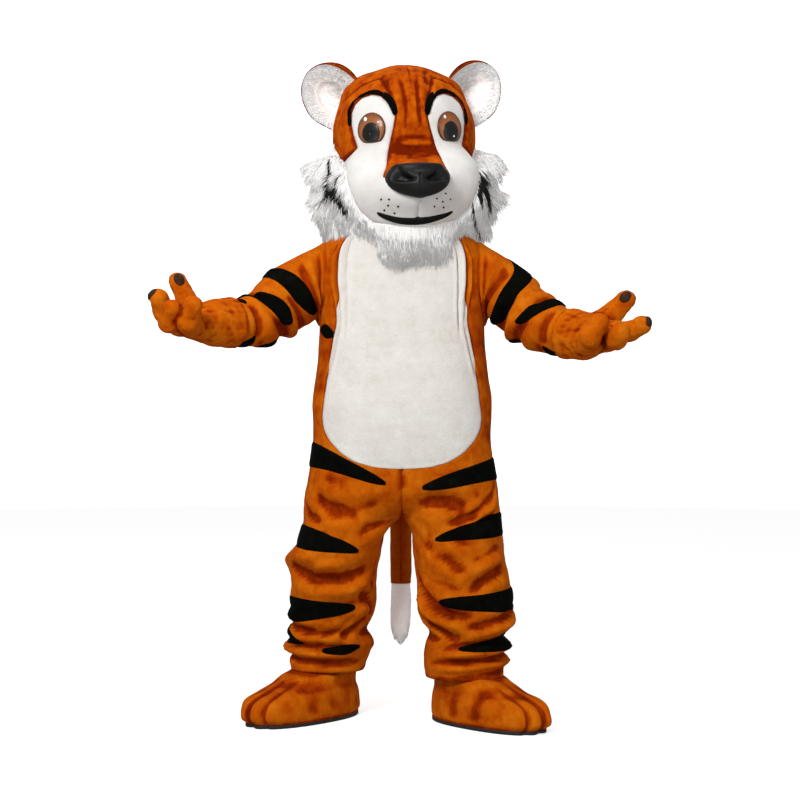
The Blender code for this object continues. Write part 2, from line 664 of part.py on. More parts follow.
def parted(points, faces):
    """The points, with those on the rim drawn into the piece, square to the rim, by half a seam's gap."""
    rim = set(rim_of(faces))
    pull = np.zeros_like(points)
    for face in faces:
        corners = points[list(face)]
        upright = np.cross(corners[1] - corners[0], corners[2] - corners[0])
        for a, b in zip(face, face[1:] + face[:1]):
            if (a, b) in rim:
                inward = np.cross(upright, points[b] - points[a])
                pull[[a, b]] += inward / np.linalg.norm(inward)
    return points + unit(pull) * (SEAM_GAP * 0.7) * (np.linalg.norm(pull, axis=-1, keepdims=True) > 0)


def wall(name, points, normals, faces, low, high, look):
    """A closed wall on a net: it fills the space from low to high along the net's normals."""
    faces = [half for face in faces for half in ((face[:3], (face[0], *face[2:])) if len(face) == 4 else (face,))]
    used = sorted({i for face in faces for i in face})
    number = {old: new for new, old in enumerate(used)}
    faces = [tuple(number[i] for i in face) for face in faces]
    normals = normals[used]
    points = parted(points[used], faces)
    low, high = (np.broadcast_to(np.asarray(v, float), (len(number),)) if np.ndim(v) == 0 else v[used] for v in (low, high))
    outer, inner = points + normals * high[:, None], points + normals * low[:, None]
    n = len(points)
    shell = faces + [tuple(n + i for i in reversed(face)) for face in faces]
    for a, b in rim_of(faces):  # its split depends only on the place, so that a neighbour's rim fits it
        if tuple(np.round(points[a], 3)) < tuple(np.round(points[b], 3)):
            shell += [(b, a, n + b), (a, n + a, n + b)]
        else:
            shell += [(b, a, n + a), (b, n + a, n + b)]
    return finish(new_object(name, mesh_of(name, np.concatenate([outer, inner]), shell)), look)


def normals_of(surface, u, v, outward_of=None):
    """Unit normals of surface(u, v), pointing away from outward_of or from the net's own middle."""
    points = surface(u, v)
    along = surface(u + EPSILON, v) - surface(u - EPSILON, v)
    across = surface(u, v + EPSILON) - surface(u, v - EPSILON)
    normals = unit(np.cross(along, across))
    middle = points.reshape(-1, 3).mean(axis=0) if outward_of is None else outward_of
    sign = np.sign(((points - middle) * normals).sum())
    return points.reshape(-1, 3), (normals * sign).reshape(-1, 3)


def net_wall(name, surface, u, v, look, low=-CLOTH, high=0.0, around=False, outward_of=None):
    """A wall on surface(u, v), where u and v are grids of the same shape."""
    points, normals = normals_of(surface, u, v, outward_of)
    faces = grid_faces(*u.shape, around)
    return wall(name, points, normals, faces, low, high, look)


# ---------------------------------------------------------------- the suit


def leg_rows(side):
    return [LEGS[side]["height"][0], *LEG_ROWS]


def panel_net(which, heights):
    """A panel's heights and turns: its side edge is the side seam or the armhole, its other edge the belly or the
    centre."""
    column, sign = ("front", -1) if which == "front" else ("back", 1)
    start = turn_of_depth(armhole_depth(heights), heights, column)
    end = belly_turn(heights) if which == "front" else np.ones(len(heights))
    share = np.linspace(0, 1, PANEL_COLUMNS)
    turn = sign * (start[:, None] * (1 - share) + end[:, None] * share)
    return np.repeat(heights[:, None], PANEL_COLUMNS, axis=1), turn


def half_net(side):
    """The front and the back panel's net in one, over the side seam, from the hem up to the armhole."""
    heights = np.array([h for h in leg_rows(side) + TRUNK_ROWS if h < ARMHOLE_ROWS[0] + EPSILON])
    height, front = panel_net("front", heights)
    _, back = panel_net("back", heights)
    turn = np.concatenate([front[:, ::-1], back[:, 1:]], axis=1)
    return np.repeat(heights[:, None], turn.shape[1], axis=1), turn


def sleeve_wall(name, side, look, first=0, **depth):
    """A sleeve, or a copy of it that leaves out its first rings."""
    share, angle = np.meshgrid(
        np.linspace(0, 1, SLEEVE_ROWS)[first:],
        np.arange(SLEEVE_COLUMNS) * 2 * math.pi / SLEEVE_COLUMNS,
        indexing="ij",
    )
    opposite = sleeve(side, share, angle + math.pi)
    return net_wall(
        name, lambda u, v: sleeve(side, u, v), share, angle, look, around=True, outward_of=opposite, **depth
    )


def panel(name, side, which, look):
    heights = np.array(leg_rows(side) + TRUNK_ROWS)
    height, turn = panel_net(which, heights)
    if which == "front":
        turn = turn[:, ::-1]  # so that its quads split as in half_net
    axis = np.array([side * 0.14, 0.0, heights.mean()])
    return net_wall(name, lambda u, v: body(side, u, v), height, turn, look, outward_of=axis)


def make_suit():
    for word, side in SIDES.items():
        panel(f"suit_front_{word}", side, "front", ORANGE_PLUSH)
        panel(f"suit_back_{word}", side, "back", ORANGE_PLUSH)
    make_belly()
    for word, side in SIDES.items():
        sleeve_wall(f"sleeve_{word}", side, ORANGE_PLUSH)


def make_belly():
    """The white panel: each row runs over the centre front from one front panel's edge to the other's."""
    heights = np.array([h for h in TRUNK_ROWS if h >= BELLY["height"][0] - EPSILON])
    edge = belly_turn(heights)
    share = np.linspace(-1, 1, 2 * PANEL_COLUMNS - 3)
    across = share * (1 - edge[:, None])  # 0 is the centre front, and its sign is the side's
    height = np.repeat(heights[:, None], len(share), axis=1)

    def surface(h, a):
        return np.where((a < 0)[..., None], body(RIGHT, h, np.abs(a) - 1), body(LEFT, h, np.abs(a) - 1))

    net_wall("belly_panel", surface, height, across, WHITE_PLUSH, outward_of=np.array([0, 0, 1.1]))


def lens(share):
    """Width of a stripe along its length: pointed at its ends, full at its middle."""
    return np.sin(np.pi * np.clip(share, 0.03, 0.97)) ** 0.8


def three_point(start, middle, end, share):
    """The curve through three values at the shares 0, 0.5 and 1."""
    return start * (1 - share) * (1 - 2 * share) + middle * 4 * share * (1 - share) + end * share * (2 * share - 1)


def combined(obj, operation, other):
    """The mesh that a Boolean makes of two objects, in the first one's frame."""
    both = obj.modifiers.new("combined", "BOOLEAN")
    both.operation, both.solver, both.object = operation, "MANIFOLD", other
    graph = bpy.context.evaluated_depsgraph_get()
    mesh = bpy.data.meshes.new_from_object(obj.evaluated_get(graph))
    obj.modifiers.remove(both)
    return mesh


def cut_from(skin, blade, name):
    """The stripe where a blade passes through a copy of the skin that stands off the panels."""
    mesh = combined(skin, "INTERSECT", blade)
    bpy.data.objects.remove(blade)
    return finish(new_object(name, mesh), BLACK_PLUSH)


def cutter(points, outward):
    """A blade through the cloth: its grid of points, run inwards and outwards."""
    faces = grid_faces(*points.shape[:2])
    return wall("cutter", points.reshape(-1, 3), outward.reshape(-1, 3), faces, -0.015, 0.035, BLACK_PLUSH)


def make_stripes():
    """Each stripe has the very facets of the cloth under it."""
    off = {"low": APPLIQUE_LIFT, "high": APPLIQUE_LIFT + APPLIQUE}
    share, across = np.meshgrid(np.linspace(0, 1, STRIPE_COLUMNS), np.linspace(-1, 1, 2), indexing="ij")
    width = lens(share) * across
    for side in SIDES.values():
        core = np.array([side * 0.16, 0.03, 0.6])
        skin = net_wall("skin", lambda u, v: body(side, u, v), *half_net(side), BLACK_PLUSH, outward_of=core, **off)
        for name, row in zip(BODY_STRIPE_NAMES, zip(*BODY_STRIPES.values())):
            owner, turn0, height0, height1, turn2, height2, half_width = row
            if owner == side:
                turn = turn0 + (turn2 - turn0) * share
                height = three_point(height0, height1, height2, share) + width * half_width
                points = body(side, height, turn)
                outward = unit((points - core) * np.array([1, 1, 0]))
                cut_from(skin, cutter(points, outward), name)
        bpy.data.objects.remove(skin)
        skin = sleeve_wall("skin", side, BLACK_PLUSH, first=1, **off)
        for name, row in zip(SLEEVE_STRIPE_NAMES, zip(*SLEEVE_STRIPES.values())):
            owner, share0, angle0, share1, angle1, share2, angle2, half_width = row
            if owner == side:
                place = three_point(share0, share1, share2, share) + width * half_width / SLEEVE_LENGTH
                angle = np.radians(three_point(angle0, angle1, angle2, share))
                points = sleeve(side, place, angle)
                outward = unit(points - sleeve(side, place, angle + math.pi))
                cut_from(skin, cutter(points, outward), name)
        bpy.data.objects.remove(skin)


def rod(name, sections, look):
    """A stuffed tube through a table's sections, closed at both ends."""
    line = np.stack([sections["x"], sections["y"], sections["z"]], axis=-1)
    forward = unit(np.gradient(line, axis=0))
    side = np.array([1.0, 0, 0])
    up = unit(np.cross(forward, side))
    angle = np.arange(TAIL_COLUMNS) * 2 * math.pi / TAIL_COLUMNS
    rings = (
        line[:, None]
        + sections["radius"][:, None, None] * (np.cos(angle)[None, :, None] * side + np.sin(angle)[None, :, None] * up[:, None])
    )
    rows = len(line)
    faces = grid_faces(rows, TAIL_COLUMNS, around=True)
    faces += [tuple(reversed(range(TAIL_COLUMNS))), tuple(range((rows - 1) * TAIL_COLUMNS, rows * TAIL_COLUMNS))]
    return finish(new_object(name, mesh_of(name, rings.reshape(-1, 3), faces)), look)


# ---------------------------------------------------------------- gloves and feet


def bone_distance(bone, points):
    """Distance from a tapered round bone."""
    a, b, r0, r1 = bone
    along = b - a
    share = np.clip(((points - a) @ along) / (along @ along), 0, 1)
    return np.linalg.norm(points - a - share[..., None] * along, axis=-1) - (r0 + (r1 - r0) * share)


def bones_of(side):
    return [
        (np.array([side * x0, y0, z0]), np.array([side * x1, y1, z1]), r0, r1)
        for x0, y0, z0, r0, x1, y1, z1, r1 in zip(*HANDS[side].values())
    ]


def hand_distance(side, points):
    total = None
    for bone in bones_of(side):
        d = bone_distance(bone, points)
        total = d if total is None else soft_min(total, d, HAND_BLEND)
    return total


def make_glove(word, side):
    """Balls strung along the bones are fused to one skin, which is fitted to the hand, cut open at the cuff and
    given its wall inwards."""
    skin = bmesh.new()
    for a, b, r0, r1 in bones_of(side):
        for share in np.linspace(0, 1, 5):
            ball = bmesh.ops.create_icosphere(skin, subdivisions=2, radius=r0 + (r1 - r0) * share)
            bmesh.ops.translate(skin, verts=ball["verts"], vec=Vector(a + (b - a) * share))
    mesh = bpy.data.meshes.new(f"glove_{word}")
    skin.to_mesh(mesh)
    skin.free()
    glove = new_object(f"glove_{word}", mesh)
    fuse = glove.modifiers.new("fuse", "REMESH")
    fuse.mode, fuse.voxel_size = "VOXEL", GLOVE_VOXEL
    graph = bpy.context.evaluated_depsgraph_get()
    fused = bpy.data.meshes.new_from_object(glove.evaluated_get(graph))
    glove.modifiers.clear()
    points = np.array([v.co for v in fused.vertices])
    for _ in range(6):
        away = gradient(lambda p: hand_distance(side, p), points)
        points = points - away * hand_distance(side, points)[:, None]
    fused.vertices.foreach_set("co", points.ravel())
    cut_open(fused, side)
    glove.data = fused
    fewer = glove.modifiers.new("fewer", "DECIMATE")
    fewer.ratio = GLOVE_KEEP
    shell = glove.modifiers.new("wall", "SOLIDIFY")
    shell.thickness, shell.offset, shell.use_even_offset = CLOTH, -1, False
    return finish(glove, ORANGE_PLUSH)


def cut_open(mesh, side):
    """Cuts a glove off square to the arm, where its cuff ends over the sleeve."""
    s = SLEEVES[side]
    wrist = np.array([side * s["x"][-1], s["y"][-1], s["z"][-1]])
    before = np.array([side * s["x"][-2], s["y"][-2], s["z"][-2]])
    along = unit(wrist - before)
    made = bmesh.new()
    made.from_mesh(mesh)
    everything = made.verts[:] + made.edges[:] + made.faces[:]
    bmesh.ops.bisect_plane(
        made, geom=everything, plane_co=wrist - along * CUFF_LAP, plane_no=along, clear_inner=True
    )
    made.to_mesh(mesh)
    made.free()


def make_pad(name, side, digit):
    """A small oval pad on a fingertip: a disc laid on the skin and moved out."""
    tip, before = bones_of(side)[digit["bone"]][1], bones_of(side)[digit["bone"]][0]
    faces = unit(np.array([side * -digit["faces"][0], digit["faces"][1], digit["faces"][2]]))
    across = unit(np.cross(faces, tip - before))
    along = np.cross(across, faces)
    ring, turn = np.meshgrid(np.array([0.3, 1.0]), np.arange(PAD_COLUMNS) * 2 * math.pi / PAD_COLUMNS, indexing="ij")
    flat = (ring * np.cos(turn))[..., None] * across + (1.35 * ring * np.sin(turn))[..., None] * along
    start = tip + faces * 0.08 + flat * PAD_RADIUS
    points = march(lambda p: hand_distance(side, p), start, -faces).reshape(-1, 3)
    normals = gradient(lambda p: hand_distance(side, p), points)
    faces_of = grid_faces(2, PAD_COLUMNS, around=True) + [tuple(range(PAD_COLUMNS))[::-1]]
    lift = 0.0025
    return wall(name, points, normals, faces_of, lift, lift + PAD_THICKNESS, ("brown_pad", BROWN, 0.6))


def make_foot(word, side):
    share, angle = np.meshgrid(np.linspace(0, 1, FOOT_ROWS), np.radians(FOOT_ANGLES), indexing="ij")
    net_wall(f"foot_{word}", lambda u, v: foot(side, u, v), share, angle, ORANGE_PLUSH, around=True)
    edge = foot(side, 0.0, angle[0])
    outline = bpy.data.curves.new(f"sole_{word}", "CURVE")
    outline.dimensions, outline.fill_mode = "2D", "BOTH"
    outline.extrude = SOLE_THICKNESS / 2
    spline = outline.splines.new("POLY")
    spline.points.add(len(FOOT_ANGLES) - 1)
    for point, (x, y, _) in zip(spline.points, edge):
        point.co = (x, y, 0, 1)
    spline.use_cyclic_u = True
    flat = bpy.data.objects.new("sole_outline", outline)
    bpy.data.collections["tiger_mascot_costume"].objects.link(flat)
    flat.location.z = SOLE_THICKNESS / 2
    bpy.context.view_layer.update()
    mesh = bpy.data.meshes.new_from_object(flat.evaluated_get(bpy.context.evaluated_depsgraph_get()))
    made = bmesh.new()
    made.from_mesh(mesh)
    bmesh.ops.remove_doubles(made, verts=made.verts, dist=1e-6)
    bmesh.ops.translate(made, verts=made.verts, vec=flat.location)
    made.to_mesh(mesh)
    made.free()
    bpy.data.objects.remove(flat)
    finish(new_object(f"sole_{word}", mesh), ("black_sole", SOLE, 0.7))


# ---------------------------------------------------------------- the head


def snapped(points, pieces, faces):
    """Moves the corners nearest to a border between two pieces onto it, and says which were moved."""
    edges = np.array(sorted({tuple(sorted(e)) for f in faces for e in zip(f, f[1:] + f[:1])}))
    edges = edges[pieces[edges[:, 0]] != pieces[edges[:, 1]]]
    start, end = points[edges[:, 0]], points[edges[:, 1]]
    low, high = np.zeros(len(edges)), np.ones(len(edges))
    for _ in range(8):
        middle = (low + high) / 2
        same = head_piece(on_head(start + (end - start) * middle[:, None])) == pieces[edges[:, 0]]
        low, high = np.where(same, middle, low), np.where(same, high, middle)
    share = (low + high) / 2
    border = on_head(start + (end - start) * share[:, None])
    nearest = np.where(share < 0.5, edges[:, 0], edges[:, 1])
    away = np.minimum(share, 1 - share)
    moved, found = points.copy(), np.zeros(len(points), bool)
    for i in np.argsort(-away):
        moved[nearest[i]] = border[i]
        found[nearest[i]] = True
    return moved, found


def on_head(points):
    """The points, moved along their rays from the head's centre onto its surface."""
    direction = unit(points)
    return march(head_distance, direction * 0.6, -direction)


def head_net():
    """Corners and triangles of the whole head, from the neck's ring to the crown."""
    azimuth = np.arange(HEAD_COLUMNS) * 2 * math.pi / HEAD_COLUMNS
    ring = NECK["elevation"] - NECK["front_drop"] * np.cos(azimuth) + NECK["side_rise"] * np.sin(azimuth) ** 2
    share = np.array(HEAD_RINGS)[:, None] / (90 - NECK["elevation"])
    elevation = np.radians(ring[None] * (1 - share) + 90 * share)
    points = head_ray(np.broadcast_to(azimuth, elevation.shape), elevation).reshape(-1, 3)
    crown = head_ray(np.array([0.0]), np.array([math.pi / 2]))
    points = np.concatenate([points, crown])
    quads = grid_faces(len(HEAD_RINGS), HEAD_COLUMNS, around=True)
    last = (len(HEAD_RINGS) - 1) * HEAD_COLUMNS
    cap = [(last + c, last + (c + 1) % HEAD_COLUMNS, len(points) - 1) for c in range(HEAD_COLUMNS)]
    return points, quads, cap


def make_head_shell():
    points, quads, cap = head_net()
    pieces = head_piece(points)
    points, on_border = snapped(points, pieces, quads + cap)
    faces = list(cap)
    for a, b, c, d in quads:
        faces += [(a, b, d), (b, c, d)] if on_border[b] and on_border[d] else [(a, b, c), (a, c, d)]
    middles = on_head(np.array([points[list(f)].mean(axis=0) for f in faces]))
    labels = joined_up(faces, head_piece(middles))
    normals = gradient(head_distance, points)
    azimuth = np.degrees(np.arctan2(np.abs(points[:, 0]), -points[:, 1]))
    spread = blend_in((azimuth - 58) / 34) * blend_in((RUFF["back"] + 4 - azimuth) / 34)
    drop = blend_in((ruff_top(azimuth) - points[:, 2]) / 0.09)
    drop = drop * (1 - 0.4 * blend_in((-0.10 - points[:, 2]) / 0.10))
    chin = blend_in((CHIN - points[:, 2]) / 0.03)
    owners = [set() for _ in points]
    for face, label in zip(faces, labels):
        for i in face:
            owners[i].add(label)
    inside_piece = np.array([len(found) == 1 for found in owners])  # fur lies flat along a seam
    reach = {name: 0.0 for name in HEAD_PIECES}
    reach["ruff_right"] = reach["ruff_left"] = RUFF["reach"] * spread * drop * inside_piece
    reach["beard"] = RUFF["beard_reach"] * chin * inside_piece
    world, turned = place_on_head(points, normals)
    looks = {"head_hood": "o", "forehead_bridge": "o", "brow_panel_right": "o", "brow_panel_left": "o"}
    for number, name in enumerate(HEAD_PIECES):
        own = [f for f, label in zip(faces, labels) if label == number]
        look = ORANGE_PLUSH if name in looks else WHITE_FUR
        wall(name, world, turned, own, -HEAD_WALL, reach[name], look)
    grown, _ = place_on_head(points + normals * SEAM_GAP, normals)
    neck = tuple(reversed(range(HEAD_COLUMNS)))
    core = finish(new_object("core", mesh_of("core", grown, [*faces, neck])), ORANGE_PLUSH)
    return BVHTree.FromPolygons([Vector(p) for p in points], faces), core


def seated(obj, core, look):
    """The object, cut to sit on the head."""
    mesh = combined(obj, "DIFFERENCE", core)
    name = obj.name
    bpy.data.objects.remove(obj)
    return finish(new_object(name, mesh), look)


def joined_up(faces, labels):
    """The labels, with every stray part of a piece given to the piece beside it."""
    labels = labels.copy()
    owner = {}
    for number, face in enumerate(faces):
        for edge in zip(face, face[1:] + face[:1]):
            owner.setdefault(tuple(sorted(edge)), []).append(number)
    beside = [[] for _ in faces]
    for pair in owner.values():
        if len(pair) == 2:
            beside[pair[0]].append(pair[1])
            beside[pair[1]].append(pair[0])
    for label in range(len(HEAD_PIECES)):
        parts, seen = [], set()
        for start in np.flatnonzero(labels == label):
            if start in seen:
                continue
            part, stack = [], [start]
            seen.add(start)
            while stack:
                number = stack.pop()
                part.append(number)
                fresh = [n for n in beside[number] if labels[n] == label and n not in seen]
                seen.update(fresh)
                stack += fresh
            parts.append(part)
        for part in sorted(parts, key=len)[:-1]:
            around = [labels[n] for number in part for n in beside[number] if labels[n] != label]
            labels[part] = max(set(around), key=around.count)
    return labels


def face_patch(skin, name, x, z, low, dome, look, around=False, cap=False):
    """A piece laid on the head's skin over the grid (x, z) seen from the front: it stands low above the skin and
    is dome thick."""
    ahead = Vector((0, 1, 0))
    hits = [skin.ray_cast(Vector((px, -0.7, pz)), ahead)[0] for px, pz in zip(x.ravel(), z.ravel())]
    points = np.array(hits)
    normals = gradient(head_distance, points)
    faces = grid_faces(*x.shape, around)
    if cap:
        faces.append(tuple(range(x.shape[1]))[::-1])
    world, turned = place_on_head(points, normals)
    return wall(name, world, turned, faces, low, low + dome.ravel(), look)


def oval_patch(skin, name, x, height, half_width, half_height, low, thick, dome, look, columns=12, rows=3, shape=None):
    ring, turn = np.meshgrid(
        np.linspace(0.1, 1, rows), np.arange(columns) * 2 * math.pi / columns, indexing="ij"
    )
    reach = ring if shape is None else ring * shape(turn)
    px, pz = x + reach * np.cos(turn) * half_width, height + reach * np.sin(turn) * half_height
    rise = thick + dome * np.sqrt(1 - (0.98 * ring) ** 2)
    return face_patch(skin, name, px, pz, low, rise, look, around=True, cap=True)


def strip_patch(skin, name, line, side, low, thick, look, rows=3):
    """A band on the face along a table of (x, height, half_width)."""
    place = np.stack([side * line["x"], line["height"]], axis=-1)
    along = unit(np.gradient(place, axis=0))
    normal = np.stack([-along[:, 1], along[:, 0]], axis=-1)
    across = np.linspace(-1, 1, rows)
    grid = place[:, None] + normal[:, None] * (line["half_width"][:, None] * across)[..., None]
    return face_patch(skin, name, grid[..., 0], grid[..., 1], low, np.full(grid.shape[:2], thick), look)


def nose_shape(turn):
    """Reach of the nose's outline: broad on top, narrowed to a blunt point below."""
    low = np.clip(-np.sin(turn), 0, 1)
    return 1 - 0.17 * low * np.abs(np.cos(turn)) * 2 + 0.04 * np.cos(2 * turn)


def make_ear(word, side, core):
    """An ear is a bowl of orange plush with a white fur lining; both are nets round the ear's middle."""
    ring, turn = np.meshgrid(
        np.linspace(0.12, 1, EAR_ROWS), np.arange(EAR_COLUMNS) * 2 * math.pi / EAR_COLUMNS, indexing="ij"
    )
    lean, swing = math.radians(EAR["lean"]), math.radians(EAR["turn"])
    up = np.array([side * math.sin(lean), 0, math.cos(lean)])
    out = np.array([side * math.cos(lean) * math.cos(swing), math.sin(swing), -math.sin(lean)])
    back = unit(np.cross(up, out)) * side
    centre = np.array([side * EAR["x"], EAR["y"], EAR["height"]]) + up * EAR["rise"]

    def bowl(r, t):
        lift = EAR_SHAPE["bowl"] * (1 - r**2)
        narrow = 1 - 0.22 * np.clip(-np.sin(t), 0, 1)
        return (
            centre
            + (r * np.cos(t) * EAR_SHAPE["half_width"] * narrow)[..., None] * out
            + (r * np.sin(t) * EAR_SHAPE["half_height"])[..., None] * up
            + lift[..., None] * back
        )

    points, normals = normals_of(bowl, ring, turn, outward_of=centre - back)
    sign = np.sign((normals @ back).mean())
    faces = grid_faces(EAR_ROWS, EAR_COLUMNS, around=True) + [tuple(range(EAR_COLUMNS))[::-1]]
    world, turned = place_on_head(points, normals * sign)
    outer = wall(f"ear_outer_{word}", world, turned, faces, SEAM_GAP / 2, EAR_SHAPE["wall"], ORANGE_PLUSH)
    inner = wall(f"ear_inner_{word}", world, turned, faces, -EAR_SHAPE["lining"], -SEAM_GAP / 2, WHITE_FUR)
    seated(outer, core, ORANGE_PLUSH)
    seated(inner, core, WHITE_FUR)


def make_head():
    skin, core = make_head_shell()
    black, iris = BLACK_PLUSH, ("brown_iris", BROWN, 0.1)
    lift = 0.002  # pieces on the face stand clear of its facets
    for word, side in SIDES.items():
        oval_patch(
            skin, f"iris_{word}", side * EYE["x"], EYE["height"], EYE["half_width"], EYE["half_height"],
            lift, 0.003, EYE["dome"], iris,
        )  # fmt: skip
        oval_patch(
            skin, f"pupil_{word}", side * EYE["x"], EYE["height"] - PUPIL["drop"], PUPIL["half_width"],
            PUPIL["half_height"], lift + 0.005 + EYE["dome"], 0.001, PUPIL["dome"], ("black_pupil", BLACK, 0.1),
        )  # fmt: skip
        brow = strip_patch(skin, f"brow_{word}", BROW, side, -lift, lift + BROW_HEIGHT, black)
        seated(brow, core, black)
        make_ear(word, side, core)
    nose = oval_patch(
        skin, "nose", 0.0, NOSE["height"], NOSE["half_width"], NOSE["half_height"],
        -lift, lift + 0.006, NOSE["dome"], ("black_nose", BLACK, 0.35), columns=16, rows=4, shape=nose_shape,
    )  # fmt: skip
    seated(nose, core, ("black_nose", BLACK, 0.35))
    mouth = strip_patch(skin, "mouth", MOUTH, 1, -lift, lift + MOUTH_HEIGHT, black)
    seated(mouth, core, black)
    bpy.data.objects.remove(core)


# ---------------------------------------------------------------- the costume


def clear_scene():
    for obj in list(bpy.data.objects):
        bpy.data.objects.remove(obj)
    bpy.context.scene.collection.children.link(bpy.data.collections.new("tiger_mascot_costume"))


def main():
    clear_scene()
    make_suit()
    make_stripes()
    rod("tail", TAIL, ORANGE_PLUSH)
    rod("tail_tip", TAIL_TIP, WHITE_FUR)
    for word, side in SIDES.items():
        make_glove(word, side)
        for digit, facts in PADS.items():
            make_pad(f"pad_{digit}_{word}", side, facts)
        make_foot(word, side)
    make_head()


main()
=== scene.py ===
"""Looks of the tiger mascot costume: each sewn piece is a fine, creased plush shell on its solid's form.

Metres, +Z up, -Y is the front, +X is the wearer's left. Tables give heights above the floor; every piece is
lowered by HELD_HEIGHT, so that the origin lies between the wearer's shoulders.
"""

import math

import bmesh
import bpy
import numpy as np
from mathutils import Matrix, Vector
from mathutils.bvhtree import BVHTree
from mathutils.kdtree import KDTree


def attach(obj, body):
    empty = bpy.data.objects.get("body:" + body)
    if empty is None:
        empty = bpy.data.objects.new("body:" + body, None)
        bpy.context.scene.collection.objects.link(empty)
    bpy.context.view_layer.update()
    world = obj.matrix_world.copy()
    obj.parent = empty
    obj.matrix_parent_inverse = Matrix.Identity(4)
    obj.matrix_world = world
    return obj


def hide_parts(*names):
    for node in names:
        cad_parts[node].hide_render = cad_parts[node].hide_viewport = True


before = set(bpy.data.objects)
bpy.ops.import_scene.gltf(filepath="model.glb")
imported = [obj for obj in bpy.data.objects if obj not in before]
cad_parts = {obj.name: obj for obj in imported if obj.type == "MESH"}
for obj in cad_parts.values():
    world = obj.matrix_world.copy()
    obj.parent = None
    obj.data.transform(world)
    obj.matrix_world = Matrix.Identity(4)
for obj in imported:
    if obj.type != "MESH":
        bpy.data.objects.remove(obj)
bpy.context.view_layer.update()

HELD_HEIGHT = 1.36
CLOTH = 0.003
HEAD_WALL = 0.006
EPSILON = 1e-4
RIGHT, LEFT = -1, 1
SIDES = {"right": RIGHT, "left": LEFT}


def table(columns, *rows):
    """Named columns of numbers, one row for each section."""
    return dict(zip(columns.split(), np.array(rows, float).T))


# ---------------------------------------------------------------- sizes

TRUNK = table(
    "height half_width front back",
    (0.600, 0.284, 0.150, 0.168),
    (0.665, 0.279, 0.160, 0.175),
    (0.750, 0.266, 0.170, 0.172),
    (0.820, 0.258, 0.178, 0.165),
    (0.940, 0.258, 0.180, 0.152),
    (1.030, 0.247, 0.172, 0.146),
    (1.130, 0.240, 0.158, 0.145),
    (1.220, 0.240, 0.146, 0.145),
    (1.300, 0.243, 0.132, 0.140),
    (1.360, 0.236, 0.118, 0.130),
    (1.400, 0.214, 0.106, 0.119),
    (1.435, 0.170, 0.097, 0.109),
    (1.475, 0.125, 0.088, 0.100),
)
LEGS = {
    RIGHT: table(
        "height inner outer front back",
        (0.155, 0.108, 0.331, 0.025, 0.245),
        (0.200, 0.092, 0.335, 0.003, 0.240),
        (0.235, 0.086, 0.339, -0.012, 0.230),
        (0.265, 0.104, 0.329, -0.025, 0.223),
        (0.300, 0.087, 0.322, -0.042, 0.216),
        (0.360, 0.073, 0.328, -0.070, 0.204),
        (0.420, 0.075, 0.328, -0.097, 0.192),
        (0.476, 0.064, 0.333, -0.118, 0.182),
        (0.520, 0.058, 0.312, -0.132, 0.174),
        (0.560, 0.045, 0.298, -0.142, 0.168),
        (0.600, 0.004, 0.290, -0.150, 0.165),
    ),
    LEFT: table(
        "height inner outer front back",
        (0.147, 0.068, 0.298, -0.075, 0.160),
        (0.200, 0.063, 0.305, -0.084, 0.160),
        (0.235, 0.070, 0.303, -0.092, 0.158),
        (0.265, 0.080, 0.308, -0.100, 0.156),
        (0.300, 0.055, 0.323, -0.108, 0.155),
        (0.360, 0.043, 0.319, -0.120, 0.154),
        (0.420, 0.043, 0.313, -0.130, 0.155),
        (0.476, 0.035, 0.300, -0.138, 0.156),
        (0.520, 0.031, 0.296, -0.144, 0.158),
        (0.560, 0.025, 0.290, -0.150, 0.160),
        (0.600, 0.004, 0.282, -0.155, 0.160),
    ),
}
CROTCH, RISE = 0.600, 0.090  # the crotch's height, and how far its curve climbs
HIP_REACH = 0.120  # away from the crotch, leg and trunk run into each other over twice this height
TRUNK_POWER, LEG_POWER = 0.80, 0.90  # under 1 makes a section fuller than an ellipse
BELLY = table(
    "height half_width",
    (0.7460, 0.004),
    (0.7485, 0.050),
    (0.7590, 0.110),
    (0.7800, 0.157),
    (0.8100, 0.193),
    (0.8450, 0.217),
    (0.8800, 0.226),
    (0.9400, 0.221),
    (1.0300, 0.207),
    (1.1300, 0.189),
    (1.2300, 0.182),
    (1.2900, 0.180),
    (1.3600, 0.176),
    (1.4000, 0.160),
    (1.4350, 0.122),
    (1.4750, 0.085),
)
ARMHOLE = {"height": 1.275, "half_height": 0.125, "half_depth": 0.075}
SUIT_TOP = 1.475

# the largest folds: a ridge where depth is positive, a trough where it is negative
FOLDS = {
    RIGHT: table(
        "height turn slope length width depth",
        (0.560, -0.45, 0.06, 0.50, 0.020, -0.008),
        (0.420, -0.40, -0.05, 0.45, 0.016, -0.012),
        (0.300, -0.35, 0.06, 0.55, 0.014, 0.010),
        (0.265, -0.45, -0.03, 0.60, 0.012, -0.012),
        (0.235, -0.60, 0.05, 0.50, 0.012, 0.010),
        (0.420, 0.50, 0.05, 0.40, 0.018, -0.012),
        (0.300, 0.55, -0.05, 0.50, 0.016, 0.010),
        (0.560, 0.50, 0.08, 0.40, 0.020, -0.010),
    ),
    LEFT: table(
        "height turn slope length width depth",
        (0.540, -0.50, -0.08, 0.40, 0.018, -0.010),
        (0.400, -0.45, -0.10, 0.50, 0.018, -0.010),
        (0.300, -0.40, -0.06, 0.55, 0.014, 0.010),
        (0.262, -0.55, 0.03, 0.55, 0.012, -0.014),
        (0.225, -0.55, -0.04, 0.50, 0.014, 0.010),
        (0.450, 0.50, 0.06, 0.40, 0.018, -0.012),
        (0.310, 0.50, -0.05, 0.50, 0.016, 0.010),
        (0.560, 0.45, 0.08, 0.40, 0.020, -0.010),
    ),
}

